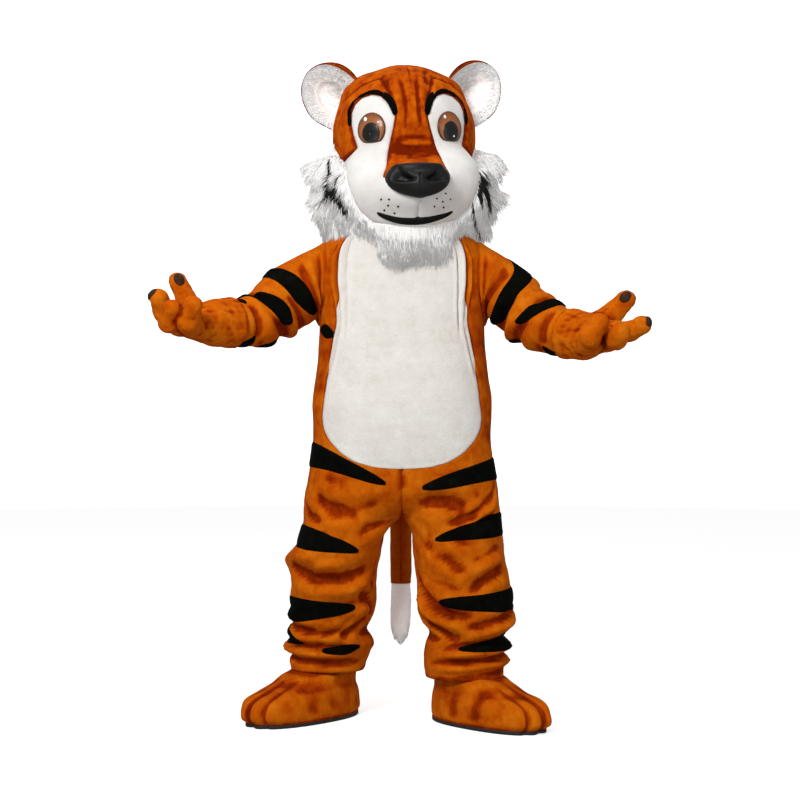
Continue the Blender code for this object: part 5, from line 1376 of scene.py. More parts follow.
def rod(name, sections, look, slot, node, rows, columns=40):
    rings, normals = rod_rings(sections, rows, columns, 0.0012)
    low, high = rings[0].mean(axis=0), rings[-1].mean(axis=0)
    points = np.concatenate([rings.reshape(-1, 3), low[None], high[None]])
    normals = np.concatenate([normals.reshape(-1, 3), unit(low - high)[None], unit(high - low)[None]])
    quads = facing(points, normals, grid_quads(rows, columns, around=True))
    n = rows * columns
    ring = np.arange(columns)
    after = (ring + 1) % columns
    first, last = ring, (rows - 1) * columns + ring
    caps = [(n, b, a) for a, b in zip(first, after)]
    caps += [(n + 1, a, b) for a, b in zip(last, (rows - 1) * columns + after)]
    made = bmesh.new()
    corners = [made.verts.new(p) for p in lowered(points)]
    for face in [*quads.tolist(), *caps]:
        made.faces.new([corners[i] for i in face])
    bmesh.ops.recalc_face_normals(made, faces=made.faces)
    mesh = bpy.data.meshes.new(name)
    made.to_mesh(mesh)
    made.free()
    lie = mesh.attributes.new("lie", "FLOAT_VECTOR", "POINT")
    lie.data.foreach_set("vector", np.ascontiguousarray(normals, np.float32).ravel())
    # painted shade: how deep each corner lies in a crease, which the plush look paints darker
    layer = mesh.attributes.new("fold", "FLOAT", "POINT")
    layer.data.foreach_set("value", np.concatenate([
        np.clip(hollows(points[:n], normals[:n], quads) / 0.006 * 10, -1.5, 1.5), [0.0, 0.0]
    ]).astype(np.float32))
    return piece(name, mesh, look, slot, node)


# ---------------------------------------------------------------- gloves and feet


def bone_distance(bone, points):
    """Distance from a tapered round bone."""
    a, b, r0, r1 = bone
    along = b - a
    share = np.clip(((points - a) @ along) / (along @ along), 0, 1)
    return np.linalg.norm(points - a - share[..., None] * along, axis=-1) - (r0 + (r1 - r0) * share)


def bones_of(side):
    return [
        (np.array([side * x0, y0, z0]), np.array([side * x1, y1, z1]), r0, r1)
        for x0, y0, z0, r0, x1, y1, z1, r1 in zip(*HANDS[side].values())
    ]


def hand_distance(side, points):
    total = None
    for bone in bones_of(side):
        d = bone_distance(bone, points)
        total = d if total is None else soft_min(total, d, HAND_BLEND)
    return total - 0.0022 * ripple(points, 0.055) - 0.0012 * ripple(points, 0.024)


def surface_mesh(obj):
    graph = bpy.context.evaluated_depsgraph_get()
    return bpy.data.meshes.new_from_object(obj.evaluated_get(graph))


def glove(word, side):
    skin = bmesh.new()
    for a, b, r0, r1 in bones_of(side):
        for share in np.linspace(0, 1, 5):
            ball = bmesh.ops.create_icosphere(skin, subdivisions=2, radius=r0 + (r1 - r0) * share)
            bmesh.ops.translate(skin, verts=ball["verts"], vec=Vector(a + (b - a) * share))
    mesh = bpy.data.meshes.new("skin")
    skin.to_mesh(mesh)
    skin.free()
    fused = bpy.data.objects.new("skin", mesh)
    bpy.context.scene.collection.objects.link(fused)
    fuse = fused.modifiers.new("fuse", "REMESH")
    fuse.mode, fuse.voxel_size = "VOXEL", 0.0042
    mesh = surface_mesh(fused)
    bpy.data.objects.remove(fused)
    points = np.empty(len(mesh.vertices) * 3)
    mesh.vertices.foreach_get("co", points)
    points = points.reshape(-1, 3)
    for _ in range(5):
        away = gradient(lambda p: hand_distance(side, p), points)
        points = points - away * hand_distance(side, points)[:, None]
    mesh.vertices.foreach_set("co", points.ravel())
    s = SLEEVES[side]
    wrist = np.array([side * s["x"][-1], s["y"][-1], s["z"][-1]])
    before = np.array([side * s["x"][-2], s["y"][-2], s["z"][-2]])
    along = unit(wrist - before)
    made = bmesh.new()
    made.from_mesh(mesh)
    bmesh.ops.bisect_plane(
        made, geom=made.verts[:] + made.edges[:] + made.faces[:], plane_co=wrist - along * CUFF_LAP,
        plane_no=along, clear_inner=True,
    )  # fmt: skip
    bmesh.ops.triangulate(made, faces=made.faces)
    bmesh.ops.remove_doubles(made, verts=made.verts, dist=0.0004)
    made.verts.index_update()
    points = np.array([v.co for v in made.verts])
    faces = np.array([[v.index for v in f.verts] for f in made.faces])
    made.free()
    normals = gradient(lambda p: hand_distance(side, p), points)
    cuff = np.exp(-((((points - (wrist - along * CUFF_LAP)) @ along) / 0.006) ** 2))
    points = points - normals * (0.0018 * cuff)[:, None]
    name = f"glove_{word}"
    return shell(f"plush_{name}", points, normals, faces, CLOTH, ORANGE_LOOK, "orange_plush", [name])


def pad(name, side, digit):
    """A small oval pad on a fingertip: a crowned disc laid on the skin."""
    tip, before = bones_of(side)[digit["bone"]][1], bones_of(side)[digit["bone"]][0]
    faces = unit(np.array([side * -digit["faces"][0], digit["faces"][1], digit["faces"][2]]))
    across = unit(np.cross(faces, tip - before))
    along = np.cross(across, faces)
    ring, turn = np.meshgrid(np.linspace(0.02, 1.0, 9), np.arange(32) * 2 * math.pi / 32, indexing="ij")
    flat = (ring * np.cos(turn))[..., None] * across + (1.35 * ring * np.sin(turn))[..., None] * along
    start = tip + faces * 0.08 + flat * PAD_RADIUS * 1.25
    points = march(lambda p: hand_distance(side, p), start, -faces).reshape(-1, 3)
    normals = gradient(lambda p: hand_distance(side, p), points)
    rise = 0.0006 + 0.0028 * np.sqrt(1 - (0.99 * ring.ravel()) ** 4)
    return shell(
        f"plush_{name}", points + normals * rise[:, None], normals, grid_quads(9, 32, around=True), SEWN_ON,
        PAD_LOOK, "brown_pad", [name],
    )  # fmt: skip


def fine_foot(side, share, angle):
    """A foot cover with its toes rounded out between the grooves."""
    plain = foot(side, share, angle)
    degrees = np.degrees((angle + math.pi) % (2 * math.pi) - math.pi)
    low = blend_in((0.75 - share) / 0.45) * blend_in(share / 0.05)
    cut = sum(np.exp(-(((degrees - at) / 2.2) ** 2)) for at in TOE_GROOVES["angle"])
    plump = sum(np.exp(-(((degrees - at) / 9.0) ** 2)) for at in (-36, -11, 12.5, 38))
    middle = np.array([side * FEET[side]["x"], FEET[side]["y"], 0.0])
    yaw = math.radians(FEET[side]["yaw"])
    ahead = np.array([side * math.sin(yaw), -math.cos(yaw), 0.0]) * FOOT["centre_ahead"]
    outward = unit(plain - middle - ahead)
    push = -0.004 * cut * low + 0.007 * plump * low + 0.014 * blend_in((share - 0.55) / 0.35)
    push = push + 0.0030 * ripple(plain, 0.08) * blend_in(share / 0.1)
    tuck = -0.004 * np.exp(-(((share - 0.02) / 0.03) ** 2))
    return plain + outward * (push + tuck)[..., None]


def foot_cover(word, side):
    share, angle = ring_grid(FOOT_FINE, FOOT_WIDE)
    yaw = math.radians(FEET[side]["yaw"])
    ahead = np.array([side * math.sin(yaw), -math.cos(yaw), 0.0]) * FOOT["centre_ahead"]
    inside_of = np.array([side * FEET[side]["x"], FEET[side]["y"], 0.02]) + ahead * (1 - share[..., None])
    return net_shell(
        f"plush_foot_{word}", lambda u, v: fine_foot(side, u, v), share, angle, ORANGE_LOOK, "orange_plush",
        [f"foot_{word}"], inside_of, around=True,
    )  # fmt: skip


def sole(word, side):
    angle = np.arange(FOOT_WIDE) * 2 * math.pi / FOOT_WIDE
    edge = fine_foot(side, np.zeros(FOOT_WIDE), angle)[:, :2]
    middle = edge.mean(axis=0)
    profile = ((0.955, 0.0), (0.985, 0.0006), (1.0, 0.0030), (1.0, 0.0095), (0.985, 0.0118))
    rings = [
        np.column_stack([middle + (edge - middle) * reach, np.full(FOOT_WIDE, z)]) for reach, z in profile
    ]
    points = np.concatenate([*rings, [[*middle, 0.0]], [[*middle, 0.0120]]])
    quads = grid_quads(len(rings), FOOT_WIDE, around=True).tolist()
    bottom, top = len(points) - 2, len(points) - 1
    start = (len(rings) - 1) * FOOT_WIDE
    caps = [(bottom, (i + 1) % FOOT_WIDE, i) for i in range(FOOT_WIDE)]
    caps += [(top, start + i, start + (i + 1) % FOOT_WIDE) for i in range(FOOT_WIDE)]
    made = bmesh.new()
    corners = [made.verts.new(p) for p in lowered(points)]
    for face in [*quads, *caps]:
        made.faces.new([corners[i] for i in face])
    bmesh.ops.recalc_face_normals(made, faces=made.faces)
    mesh = bpy.data.meshes.new(f"rubber_sole_{word}")
    made.to_mesh(mesh)
    made.free()
    obj = piece(f"rubber_sole_{word}", mesh, SOLE_LOOK, "black_sole", f"sole_{word}")
    obj.data.set_sharp_from_angle(angle=math.radians(45))
    return obj


# ---------------------------------------------------------------- the head


def on_head(points):
    """The points, moved along their rays from the head's centre onto its surface."""
    direction = unit(points)
    return march(head_distance, direction * 0.6, -direction)


def snapped(points, pieces, faces):
    """Moves the corners nearest to a border between two pieces onto it, and says which were moved."""
    pairs = np.concatenate([faces[:, [i, (i + 1) % faces.shape[1]]] for i in range(faces.shape[1])])
    edges = np.unique(np.sort(pairs, axis=1), axis=0)
    edges = edges[pieces[edges[:, 0]] != pieces[edges[:, 1]]]
    start, end = points[edges[:, 0]], points[edges[:, 1]]
    low, high = np.zeros(len(edges)), np.ones(len(edges))
    for _ in range(9):
        middle = (low + high) / 2
        same = head_piece(on_head(start + (end - start) * middle[:, None])) == pieces[edges[:, 0]]
        low, high = np.where(same, middle, low), np.where(same, high, middle)
    share = (low + high) / 2
    border = on_head(start + (end - start) * share[:, None])
    nearest = np.where(share < 0.5, edges[:, 0], edges[:, 1])
    away = np.minimum(share, 1 - share)
    moved, found = points.copy(), np.zeros(len(points), bool)
    for i in np.argsort(-away):
        moved[nearest[i]] = border[i]
        found[nearest[i]] = True
    return moved, found


def joined_up(faces, labels):
    """The labels, with every stray part of a piece given to the piece beside it."""
    labels = labels.copy()
    owner = {}
    for number, face in enumerate(faces.tolist()):
        for edge in zip(face, face[1:] + face[:1]):
            owner.setdefault(tuple(sorted(edge)), []).append(number)
    beside = [[] for _ in faces]
    for pair in owner.values():
        if len(pair) == 2:
            beside[pair[0]].append(pair[1])
            beside[pair[1]].append(pair[0])
    for label in range(len(HEAD_PIECES)):
        parts, seen = [], set()
        for start in np.flatnonzero(labels == label):
            if start in seen:
                continue
            part, stack = [], [start]
            seen.add(start)
            while stack:
                number = stack.pop()
                part.append(number)
                fresh = [n for n in beside[number] if labels[n] == label and n not in seen]
                seen.update(fresh)
                stack += fresh
            parts.append(part)
        for part in sorted(parts, key=len)[:-1]:
            around = [labels[n] for number in part for n in beside[number] if labels[n] != label]
            labels[part] = max(set(around), key=around.count)
    return labels


def head_net():
    """Corners, quads and cap of the whole head, from the neck's ring to the crown, closest at the face."""
    even = np.linspace(-math.pi, math.pi, HEAD_WIDE, endpoint=False)
    azimuth = even - 0.35 * np.sin(even)
    ring = NECK["elevation"] - NECK["front_drop"] * np.cos(azimuth) + NECK["side_rise"] * np.sin(azimuth) ** 2
    share = (np.linspace(0, 1, HEAD_FINE) * 0.985)[:, None]
    elevation = np.radians(ring[None] * (1 - share) + 90 * share)
    points = head_ray(np.broadcast_to(azimuth, elevation.shape), elevation).reshape(-1, 3)
    crown = head_ray(np.array([0.0]), np.array([math.pi / 2]))
    points = np.concatenate([points, crown])
    quads = grid_quads(HEAD_FINE, HEAD_WIDE, around=True)
    last = (HEAD_FINE - 1) * HEAD_WIDE
    c = np.arange(HEAD_WIDE)
    cap = np.stack([last + c, last + (c + 1) % HEAD_WIDE, np.full(HEAD_WIDE, len(points) - 1)], axis=1)
    return points, quads, cap


# wrinkles of the head's plush, seen from the front: each runs through three places (height, x)
BROW_WRINKLES = table(
    "h0 x0 h1 x1 h2 x2 width depth",
    (0.210, 0.030, 0.130, 0.020, 0.010, 0.028, 0.0060, -0.0050),
    (0.215, 0.046, 0.140, 0.036, 0.060, 0.036, 0.0080, 0.0050),
    (0.200, -0.028, 0.120, -0.016, 0.030, -0.020, 0.0060, -0.0040),
    (0.190, -0.052, 0.140, -0.040, 0.070, -0.034, 0.0080, 0.0045),
    (0.150, 0.014, 0.090, 0.012, 0.020, 0.014, 0.0045, 0.0030),
    (0.120, -0.006, 0.070, -0.006, 0.020, -0.010, 0.0050, 0.0030),
    (0.228, 0.062, 0.190, 0.050, 0.150, 0.052, 0.0080, -0.0060),
    (0.215, -0.075, 0.185, -0.060, 0.150, -0.056, 0.0080, -0.0050),
)
BRIDGE_WRINKLES = table(
    "x0 h0 x1 h1 x2 h2 width depth",
    (-0.060, 0.004, 0.000, 0.010, 0.066, 0.006, 0.0060, -0.0035),
    (-0.050, -0.012, 0.005, -0.008, 0.060, -0.016, 0.0070, 0.0025),
    (-0.020, -0.034, 0.030, -0.028, 0.080, -0.036, 0.0070, -0.0030),
    (-0.078, -0.046, -0.020, -0.052, 0.030, -0.050, 0.0080, 0.0025),
    (-0.040, -0.074, 0.020, -0.066, 0.080, -0.074, 0.0070, -0.0025),
)


LOCK_CORNERS = 7  # two rings of three and a tip
FUR_BASE = 0.80  # share of the fur's reach that its backing fills
TOWARDS_LIGHT = np.array([0, -1.4, 0.4])  # the hairs' faces that are seen lean to the front and up


def fur_reach(points, azimuth):
    """How far the ruff and the beard stand off the head."""
    spread = blend_in((azimuth - 56) / 32) * blend_in((RUFF["back"] + 4 - azimuth) / 34)
    drop = blend_in((ruff_top(azimuth) - points[:, 2]) / 0.045)
    drop = drop * (1 - 0.40 * blend_in((-0.09 - points[:, 2]) / 0.13))
    chin = blend_in((CHIN - points[:, 2]) / 0.03)
    return RUFF["reach"] * spread * drop, RUFF["beard_reach"] * chin


class Head:
    """The head's fine skin, its pieces' faces, and how far each corner is from a seam."""

    def __init__(self):
        points, quads, cap = head_net()
        pieces = head_piece(points)
        cap_as_quads = np.column_stack([cap, cap[:, 2]])
        points, on_border = snapped(points, pieces, np.concatenate([quads, cap_as_quads]))
        a, b, c, d = quads.T
        flip = on_border[b] & on_border[d]
        first = np.where(flip[:, None], np.stack([a, b, d], axis=1), np.stack([a, b, c], axis=1))
        second = np.where(flip[:, None], np.stack([b, c, d], axis=1), np.stack([a, c, d], axis=1))
        self.faces = np.concatenate([first, second, cap])
        middles = on_head(points[self.faces].mean(axis=1))
        self.labels = joined_up(self.faces, head_piece(middles))
        self.points, self.normals = points, gradient(head_distance, points)
        owners = [set() for _ in points]
        for face, label in zip(self.faces.tolist(), self.labels.tolist()):
            for i in face:
                owners[i].add(label)
        sewn = {HEAD_PIECES.index("head_hood"), HEAD_PIECES.index("forehead_bridge")}
        border = np.array([len(found) > 1 and found != sewn for found in owners])
        tree = KDTree(int(border.sum()))
        for number, point in enumerate(points[border]):
            tree.insert(Vector(point), number)
        tree.balance()
        self.from_seam = np.array([tree.find(Vector(p))[2] for p in points])
        self.azimuth = np.degrees(np.arctan2(np.abs(points[:, 0]), -points[:, 1]))
        self.skin = BVHTree.FromPolygons([Vector(p) for p in points], self.faces.tolist())

    def wrinkled(self, points):
        """How far the orange plush of the forehead and the bridge is pushed out."""
        x, height = points[:, 0], points[:, 2]
        front = blend_in((-0.02 - points[:, 1]) / 0.08)
        seam = -0.0022 * np.exp(-(((x - 0.006) / 0.0028) ** 2)) * blend_in((height - 0.09) / 0.05)
        soft = creased(BROW_WRINKLES, height, x, 1.15, 0.62) + creased(BRIDGE_WRINKLES, x, height, 1.3, 0.9)
        return front * soft + seam

    def piece(self, name, look, slot, rise, thick=HEAD_WALL):
        """One sewn piece: rise says how far each corner of the skin is pushed out."""
        label = HEAD_PIECES.index(name)
        own = self.faces[self.labels == label]
        used, faces = np.unique(own, return_inverse=True)
        faces = faces.reshape(own.shape)
        dip = SEAM_DEPTH * np.exp(-((self.from_seam[used] / SEAM_WIDTH) ** 2))
        moved = self.points[used] + self.normals[used] * (rise[used] - dip)[:, None]
        world, turned = place_on_head(moved, self.normals[used])
        extra = {
            "tone": np.zeros(len(used)),
            # painted shade: the fur look paints the backing as dark as the hairs' roots
            "root": np.full(len(used), 0.30),
            "lie": unit(turned + (TOWARDS_LIGHT if slot == "white_fur" else 0)),
        }
        thick = thick + rise[used]
        return shell(f"plush_{name}", world, turned, faces, thick, look, slot, [name], extra=extra)


def scattered(points, faces, count, seed):
    """Seeded random places on a mesh, with the corner weights that blend its values there."""
    generator = np.random.default_rng(seed)
    corners = points[faces]
    area = np.linalg.norm(np.cross(corners[:, 1] - corners[:, 0], corners[:, 2] - corners[:, 0]), axis=1)
    chosen = generator.choice(len(faces), count, p=area / area.sum())
    u, v = generator.random(count), generator.random(count)
    over = u + v > 1
    u, v = np.where(over, 1 - u, u), np.where(over, 1 - v, v)
    weights = np.stack([1 - u - v, u, v], axis=1)
    return faces[chosen], weights


def blended(values, corners, weights):
    found = values[corners]
    return (found * (weights[..., None] if found.ndim == 3 else weights)).sum(axis=1)


def locks(name, roots, flow, length, width, droop, tone, seed, lie, painted_shade=None, clump=0.5, per_clump=16):
    """Tapered locks of hair: each runs along flow, bends by droop, and leans to its clump's tip.
    lie is the way the coat under it faces, which is how the whole coat takes the light."""
    generator = np.random.default_rng(seed)
    count = len(roots)
    leaders = generator.choice(count, max(count // per_clump, 1), replace=False)
    tree = KDTree(len(leaders))
    for number, i in enumerate(leaders):
        tree.insert(Vector(roots[i]), number)
    tree.balance()
    leader = leaders[[tree.find(Vector(p))[1] for p in roots]]
    shares = np.array([0.0, 0.52, 1.0])
    bend = flow[:, None] * shares[None, :, None] + droop[:, None] * (shares**2)[None, :, None]
    line = roots[:, None] + bend * length[:, None, None]
    pull = clump * shares[None, :, None] ** 1.5
    line = line * (1 - pull) + line[leader] * pull
    spin = unit(generator.normal(size=(count, 3)))
    across = unit(np.cross(flow, spin))
    other = np.cross(flow, across)
    girth = np.array([1.0, 0.90])
    angle = np.arange(3) * 2 * math.pi / 3
    cos, sin = np.cos(angle)[None, :, None], np.sin(angle)[None, :, None]
    around = cos * across[:, None] + 0.6 * sin * other[:, None]
    rings = line[:, :2, None] + around[:, None] * (width[:, None] * girth)[:, :, None, None]
    points = np.concatenate([rings.reshape(count, 6, 3), line[:, 2:]], axis=1)
    one = [(2, 1, 0)]
    for k in range(3):
        a, b = k, (k + 1) % 3
        one += [(a, b, b + 3), (a, b + 3, a + 3), (a + 3, b + 3, 6)]
    faces = (np.array(one)[None] + LOCK_CORNERS * np.arange(count)[:, None, None]).reshape(-1, 3)
    # painted shade: each lock is darker at its root ring than at its tip; each lock also gets a random tone
    # of its own, plus any painted shade it is given
    root = np.array([0.42] * 3 + [0.12] * 3 + [0.0])
    own = generator.uniform(-0.10, 0.14, count) + (0.0 if painted_shade is None else painted_shade)
    tones = {
        "tone": np.repeat(tone, LOCK_CORNERS),
        "root": np.tile(root, count) + np.repeat(own, LOCK_CORNERS),
        "fold": np.zeros(count * LOCK_CORNERS),
        "lie": np.repeat(unit(lie + generator.normal(0, 0.16, (count, 3))), LOCK_CORNERS, axis=0),
    }
    mesh = new_mesh(name, lowered(points.reshape(-1, 3)), faces, tones)
    coat = piece(name, mesh, FUR_LOOK, "white_fur")
    coat.visible_shadow = False  # fine hair lets the light through
    return coat


def tuft_tone(world):
    """1 where the ruff's hair is black, seen from the front."""
    x = world[:, 0] - HEAD_CENTRE[0]
    z = world[:, 2] - HEAD_CENTRE[2]
    tone = np.zeros(len(world))
    for x0, z0, x1, z1, radius in zip(*TUFTS.values()):
        a, b = np.array([x0, z0]), np.array([x1, z1])
        along = b - a
        place = np.stack([x, z], axis=-1)
        share = np.clip(((place - a) @ along) / (along @ along), 0, 1)
        away = np.linalg.norm(place - a - share[:, None] * along, axis=-1)
        tone = np.where(away < radius * 1.25, BLACK_TONE, tone)
    return tone


def head_fur(head, name, seed, count, node_rise):
    """Long hair over the ruff or the beard: it starts on the piece's face and runs down and outwards."""
    label = HEAD_PIECES.index(name)
    own = head.faces[head.labels == label]
    rise = node_rise * FUR_BASE
    outer = head.points + head.normals * rise[:, None]
    corners, weights = scattered(outer, own, count, seed)
    roots = blended(outer, corners, weights)
    across = np.cross(outer[own[:, 1]] - outer[own[:, 0]], outer[own[:, 2]] - outer[own[:, 0]])
    across = across * np.sign((across * head.normals[own[:, 0]]).sum(axis=1))[:, None]
    facing = np.zeros(outer.shape)
    for corner in range(3):
        np.add.at(facing, own[:, corner], across)
    normal = unit(blended(unit(facing + 1e-12), corners, weights))
    azimuth = blended(head.azimuth, corners, weights)
    reach = blended(rise, corners, weights)
    generator = np.random.default_rng(seed + 1)
    side = np.sign(roots[:, 0])
    outward = unit(np.stack([roots[:, 0], roots[:, 1] * 0.5, 0 * side], axis=-1))
    down = np.array([0, 0, -1.0])
    hanging = unit(down - (normal @ down)[:, None] * normal)
    flow = hanging * 0.9 + normal * 0.30 + outward * 0.12
    wave = np.stack([ripple(roots + shift, 0.10) for shift in (0.0, 0.3, 0.6)], axis=-1)
    flow = unit(flow + 0.22 * wave + generator.normal(0, 0.10, (count, 3)))
    length = 0.030 + 0.62 * reach + generator.uniform(0, 0.026, count)
    length = length * (0.75 + 0.25 * blend_in((azimuth - 30) / 40))
    width = generator.uniform(0.0011, 0.0019, count)
    droop = down * 0.22 + generator.normal(0, 0.07, (count, 3))
    world, lie = place_on_head(roots - normal * 0.003, normal)
    _, flow = place_on_head(roots, flow)
    return world, flow, length, width, droop, lie


def ruffs_and_beard(head):
    ruff_reach, beard_reach = fur_reach(head.points, head.azimuth)
    inside_seam = blend_in(head.from_seam / 0.016)
    made = []
    for word, side in SIDES.items():
        name = f"ruff_{word}"
        rise = ruff_reach * inside_seam
        made.append(head.piece(name, FUR_LOOK, "white_fur", rise * FUR_BASE))
        made[-1].visible_shadow = False
        world, flow, length, width, droop, lie = head_fur(head, name, 40 + side, 9800, rise)
        tone = tuft_tone(world + flow * (length * 0.5)[:, None]) * (world[:, 1] < 0.03)
        lie = unit(lie + TOWARDS_LIGHT)
        made.append(locks(f"fur_{name}", world, flow, length, width, droop, tone, 50 + side, lie))
    rise = beard_reach * inside_seam
    made.append(head.piece("beard", FUR_LOOK, "white_fur", rise * FUR_BASE))
    made[-1].visible_shadow = False
    world, flow, length, width, droop, lie = head_fur(head, "beard", 60, 6400, rise)
    lie = unit(lie + np.array([0, -0.5, 0.5]))
    made.append(locks("fur_beard", world, flow, length * 1.45, width, droop, np.zeros(len(world)), 61, lie))
    return made


def face_patch(
    head, name, x, z, low, dome, look, slot, nodes, around=False, sink=0.0, extra=None, thick=None
):  # fmt: skip
    """A piece laid on the head's skin over the grid (x, z) seen from the front."""
    ahead = Vector((0, 1, 0))
    hits = [head.skin.ray_cast(Vector((px, -0.7, pz)), ahead)[0] for px, pz in zip(x.ravel(), z.ravel())]
    points = np.array(hits)
    normals = gradient(head_distance, points)
    rise = low + dome.ravel()
    world, turned = place_on_head(points + normals * rise[:, None], normals)
    depth = rise - low + sink if thick is None else thick
    depth = np.maximum(depth, 0.0012)
    return shell(name, world, turned, grid_quads(*x.shape, around), depth, look, slot, nodes, extra=extra)


def disc(rings, columns, power=1.0):
    ring, turn = np.meshgrid(
        np.linspace(0.015, 1, rings) ** power, np.arange(columns) * 2 * math.pi / columns, indexing="ij"
    )
    return ring, turn


def eyeball(radius):
    """How far the eye is domed out at a share of its radius."""
    return 0.0030 + 0.0062 * np.sqrt(np.clip(1 - (0.98 * radius) ** 2, 0, 1))


def eyes(head):
    made = []
    for word, side in SIDES.items():
        x0, z0 = side * EYE["x"], EYE["height"]
        ring, turn = disc(14, 72, 0.8)
        px = x0 + ring * np.cos(turn) * EYE["half_width"]
        pz = z0 + ring * np.sin(turn) * EYE["half_height"]
        flat_low = z0 - 0.80 * EYE["half_height"]
        pz = np.where(pz < flat_low, flat_low + (pz - flat_low) * 0.35, pz)
        dome = eyeball(ring)
        extra = {"ring": ring.ravel(), "high": ((pz - z0) / EYE["half_height"]).ravel() * 0.5 + 0.5}
        made.append(face_patch(
            head, f"gloss_iris_{word}", px, pz, 0.0, dome, IRIS_LOOK, "brown_iris", [f"iris_{word}"],
            True, extra=extra,
        ))
        ring, turn = disc(8, 56, 0.8)
        px = x0 + ring * np.cos(turn) * PUPIL["half_width"]
        pz = z0 - PUPIL["drop"] + ring * np.sin(turn) * PUPIL["half_height"]
        radius = np.hypot((px - x0) / EYE["half_width"], (pz - z0) / EYE["half_height"])
        under = eyeball(np.minimum(radius, 1))
        pz = np.where(pz < flat_low, flat_low + (pz - flat_low) * 0.35, pz)
        dome = under + 0.0006 + 0.0010 * np.sqrt(1 - (0.98 * ring) ** 2)
        made.append(face_patch(
            head, f"gloss_pupil_{word}", px, pz, 0.0, dome, PUPIL_LOOK, "black_pupil", [f"pupil_{word}"],
            True, extra={"ring": ring.ravel()}, thick=0.0018,
        ))
        spots = {
            RIGHT: ((-0.0125, 0.0275, 0.0042, 0.0062), (0.0195, 0.0150, 0.0022, 0.0022)),
            LEFT: ((-0.0170, 0.0270, 0.0034, 0.0052), (0.0070, -0.0265, 0.0026, 0.0026)),
        }[side]
        for number, (dx, dz, half_width, half_height) in enumerate(spots):
            ring, turn = disc(4, 20)
            px = x0 + dx + ring * np.cos(turn) * half_width
            pz = z0 + dz + ring * np.sin(turn) * half_height
            radius = np.hypot((px - x0) / EYE["half_width"], (pz - z0) / EYE["half_height"])
            under = eyeball(np.minimum(radius, 1))
            made.append(face_patch(
                head, f"glint_{word}_{number}", px, pz, 0.0, under + 0.0022, GLINT_LOOK, "brown_iris", [],
                True, thick=0.0008,
            ))
    return made


def strip(head, name, line, side, low, thick, look, slot, nodes, long=90, wide=9):
    """A rounded band on the face along a table of (x, height, half_width)."""
    knots = np.linspace(0, 1, len(line["x"]))
    at = np.linspace(0, 1, long)
    place = np.stack([side * smooth(knots, line["x"], at), smooth(knots, line["height"], at)], axis=-1)
    width = smooth(knots, line["half_width"], at)
    ends = np.sqrt(np.clip(np.minimum(at, 1 - at) / 0.035, 0.02, 1))
    along = unit(np.gradient(place, axis=0))
    normal = np.stack([-along[:, 1], along[:, 0]], axis=-1)
    across = np.linspace(-1, 1, wide)
    grid = place[:, None] + normal[:, None] * ((width * ends)[:, None] * across)[..., None]
    dome = thick * np.sqrt(np.clip(1 - across**4, 0.03, 1))[None] * ends[:, None]
    return face_patch(head, name, grid[..., 0], grid[..., 1], low, dome, look, slot, nodes, sink=0.002)


def nose_shape(turn):
    """Reach of the nose's outline: broad on top, narrowed to a blunt point below."""
    low = np.clip(-np.sin(turn), 0, 1)
    return 1 - 0.04 * low * np.abs(np.cos(turn)) * 2 + 0.04 * np.cos(2 * turn)


def nose(head):
    """The nose: a broad ledge on top, two comma-shaped nostrils under it and a groove down its middle."""
    ring, turn = disc(52, 140, 0.75)
    reach = ring * nose_shape(turn)
    u, v = reach * np.cos(turn), reach * np.sin(turn)
    px, pz = u * NOSE["half_width"], NOSE["height"] + v * NOSE["half_height"]
    dome = 0.006 + NOSE["dome"] * np.clip(1 - (0.99 * ring) ** 2.8, 0, 1) ** 0.5
    brim = v - 0.42 - 0.10 * u**2
    ledge = 0.0050 * np.exp(-((brim / 0.11) ** 2)) * blend_in((0.88 - np.abs(u)) / 0.25)
    roof = -0.014 * blend_in(brim / 0.50)
    bridge = 0.0050 * np.exp(-((u / 0.17) ** 2)) * blend_in((0.25 - v) / 0.3)
    slot = np.abs(u) - 0.47
    along = slot * 0.86 + (v + 0.08) * 0.50
    off = -slot * 0.50 + (v + 0.08) * 0.86 - 0.5 * along**2
    thin = 0.175 + 0.10 * np.clip(along / 0.3, -1, 1)
    hole = np.exp(-(np.abs(along / 0.29) ** 4) - np.abs(off / thin) ** 4)
    lip = np.exp(-(np.abs(along / 0.36) ** 4) - np.abs((off + 0.13) / 0.20) ** 4) * (1 - hole)
    groove = np.exp(-((u / 0.018) ** 2)) * blend_in((0.05 - v) / 0.25)
    dome = dome + ledge + roof + bridge - 0.0190 * hole + 0.0022 * lip - 0.0035 * groove
    dome = np.maximum(dome, 0.0022)
    # painted shade: this mask paints the nostrils and the groove blacker
    extra = {"hole": np.maximum(hole, 0.55 * groove).ravel()}
    return face_patch(
        head, "vinyl_nose", px, pz, -0.001, dome, NOSE_LOOK, "black_nose", ["nose"], True, 0.003, extra
    )


def dots(head):
    """The whiskers' roots: small black dots sewn on the muzzle, as one mesh."""
    made = []
    for number, (x, z) in enumerate(WHISKERS):
        ring, turn = disc(3, 12)
        px = x + ring * np.cos(turn) * 0.0026
        pz = z + ring * np.sin(turn) * 0.0022
        dome = 0.0008 + 0.0012 * np.sqrt(1 - (0.98 * ring) ** 2)
        made.append(face_patch(
            head, f"dot_{number}", px, pz, 0.0, dome, MOUTH_LOOK, "black_plush", [], True, thick=0.0016
        ))
    chosen = {"active_object": made[0], "selected_editable_objects": made, "selected_objects": made}
    with bpy.context.temp_override(**chosen):
        bpy.ops.object.join()
    made[0].name = "whisker_dots"
    return made[0]


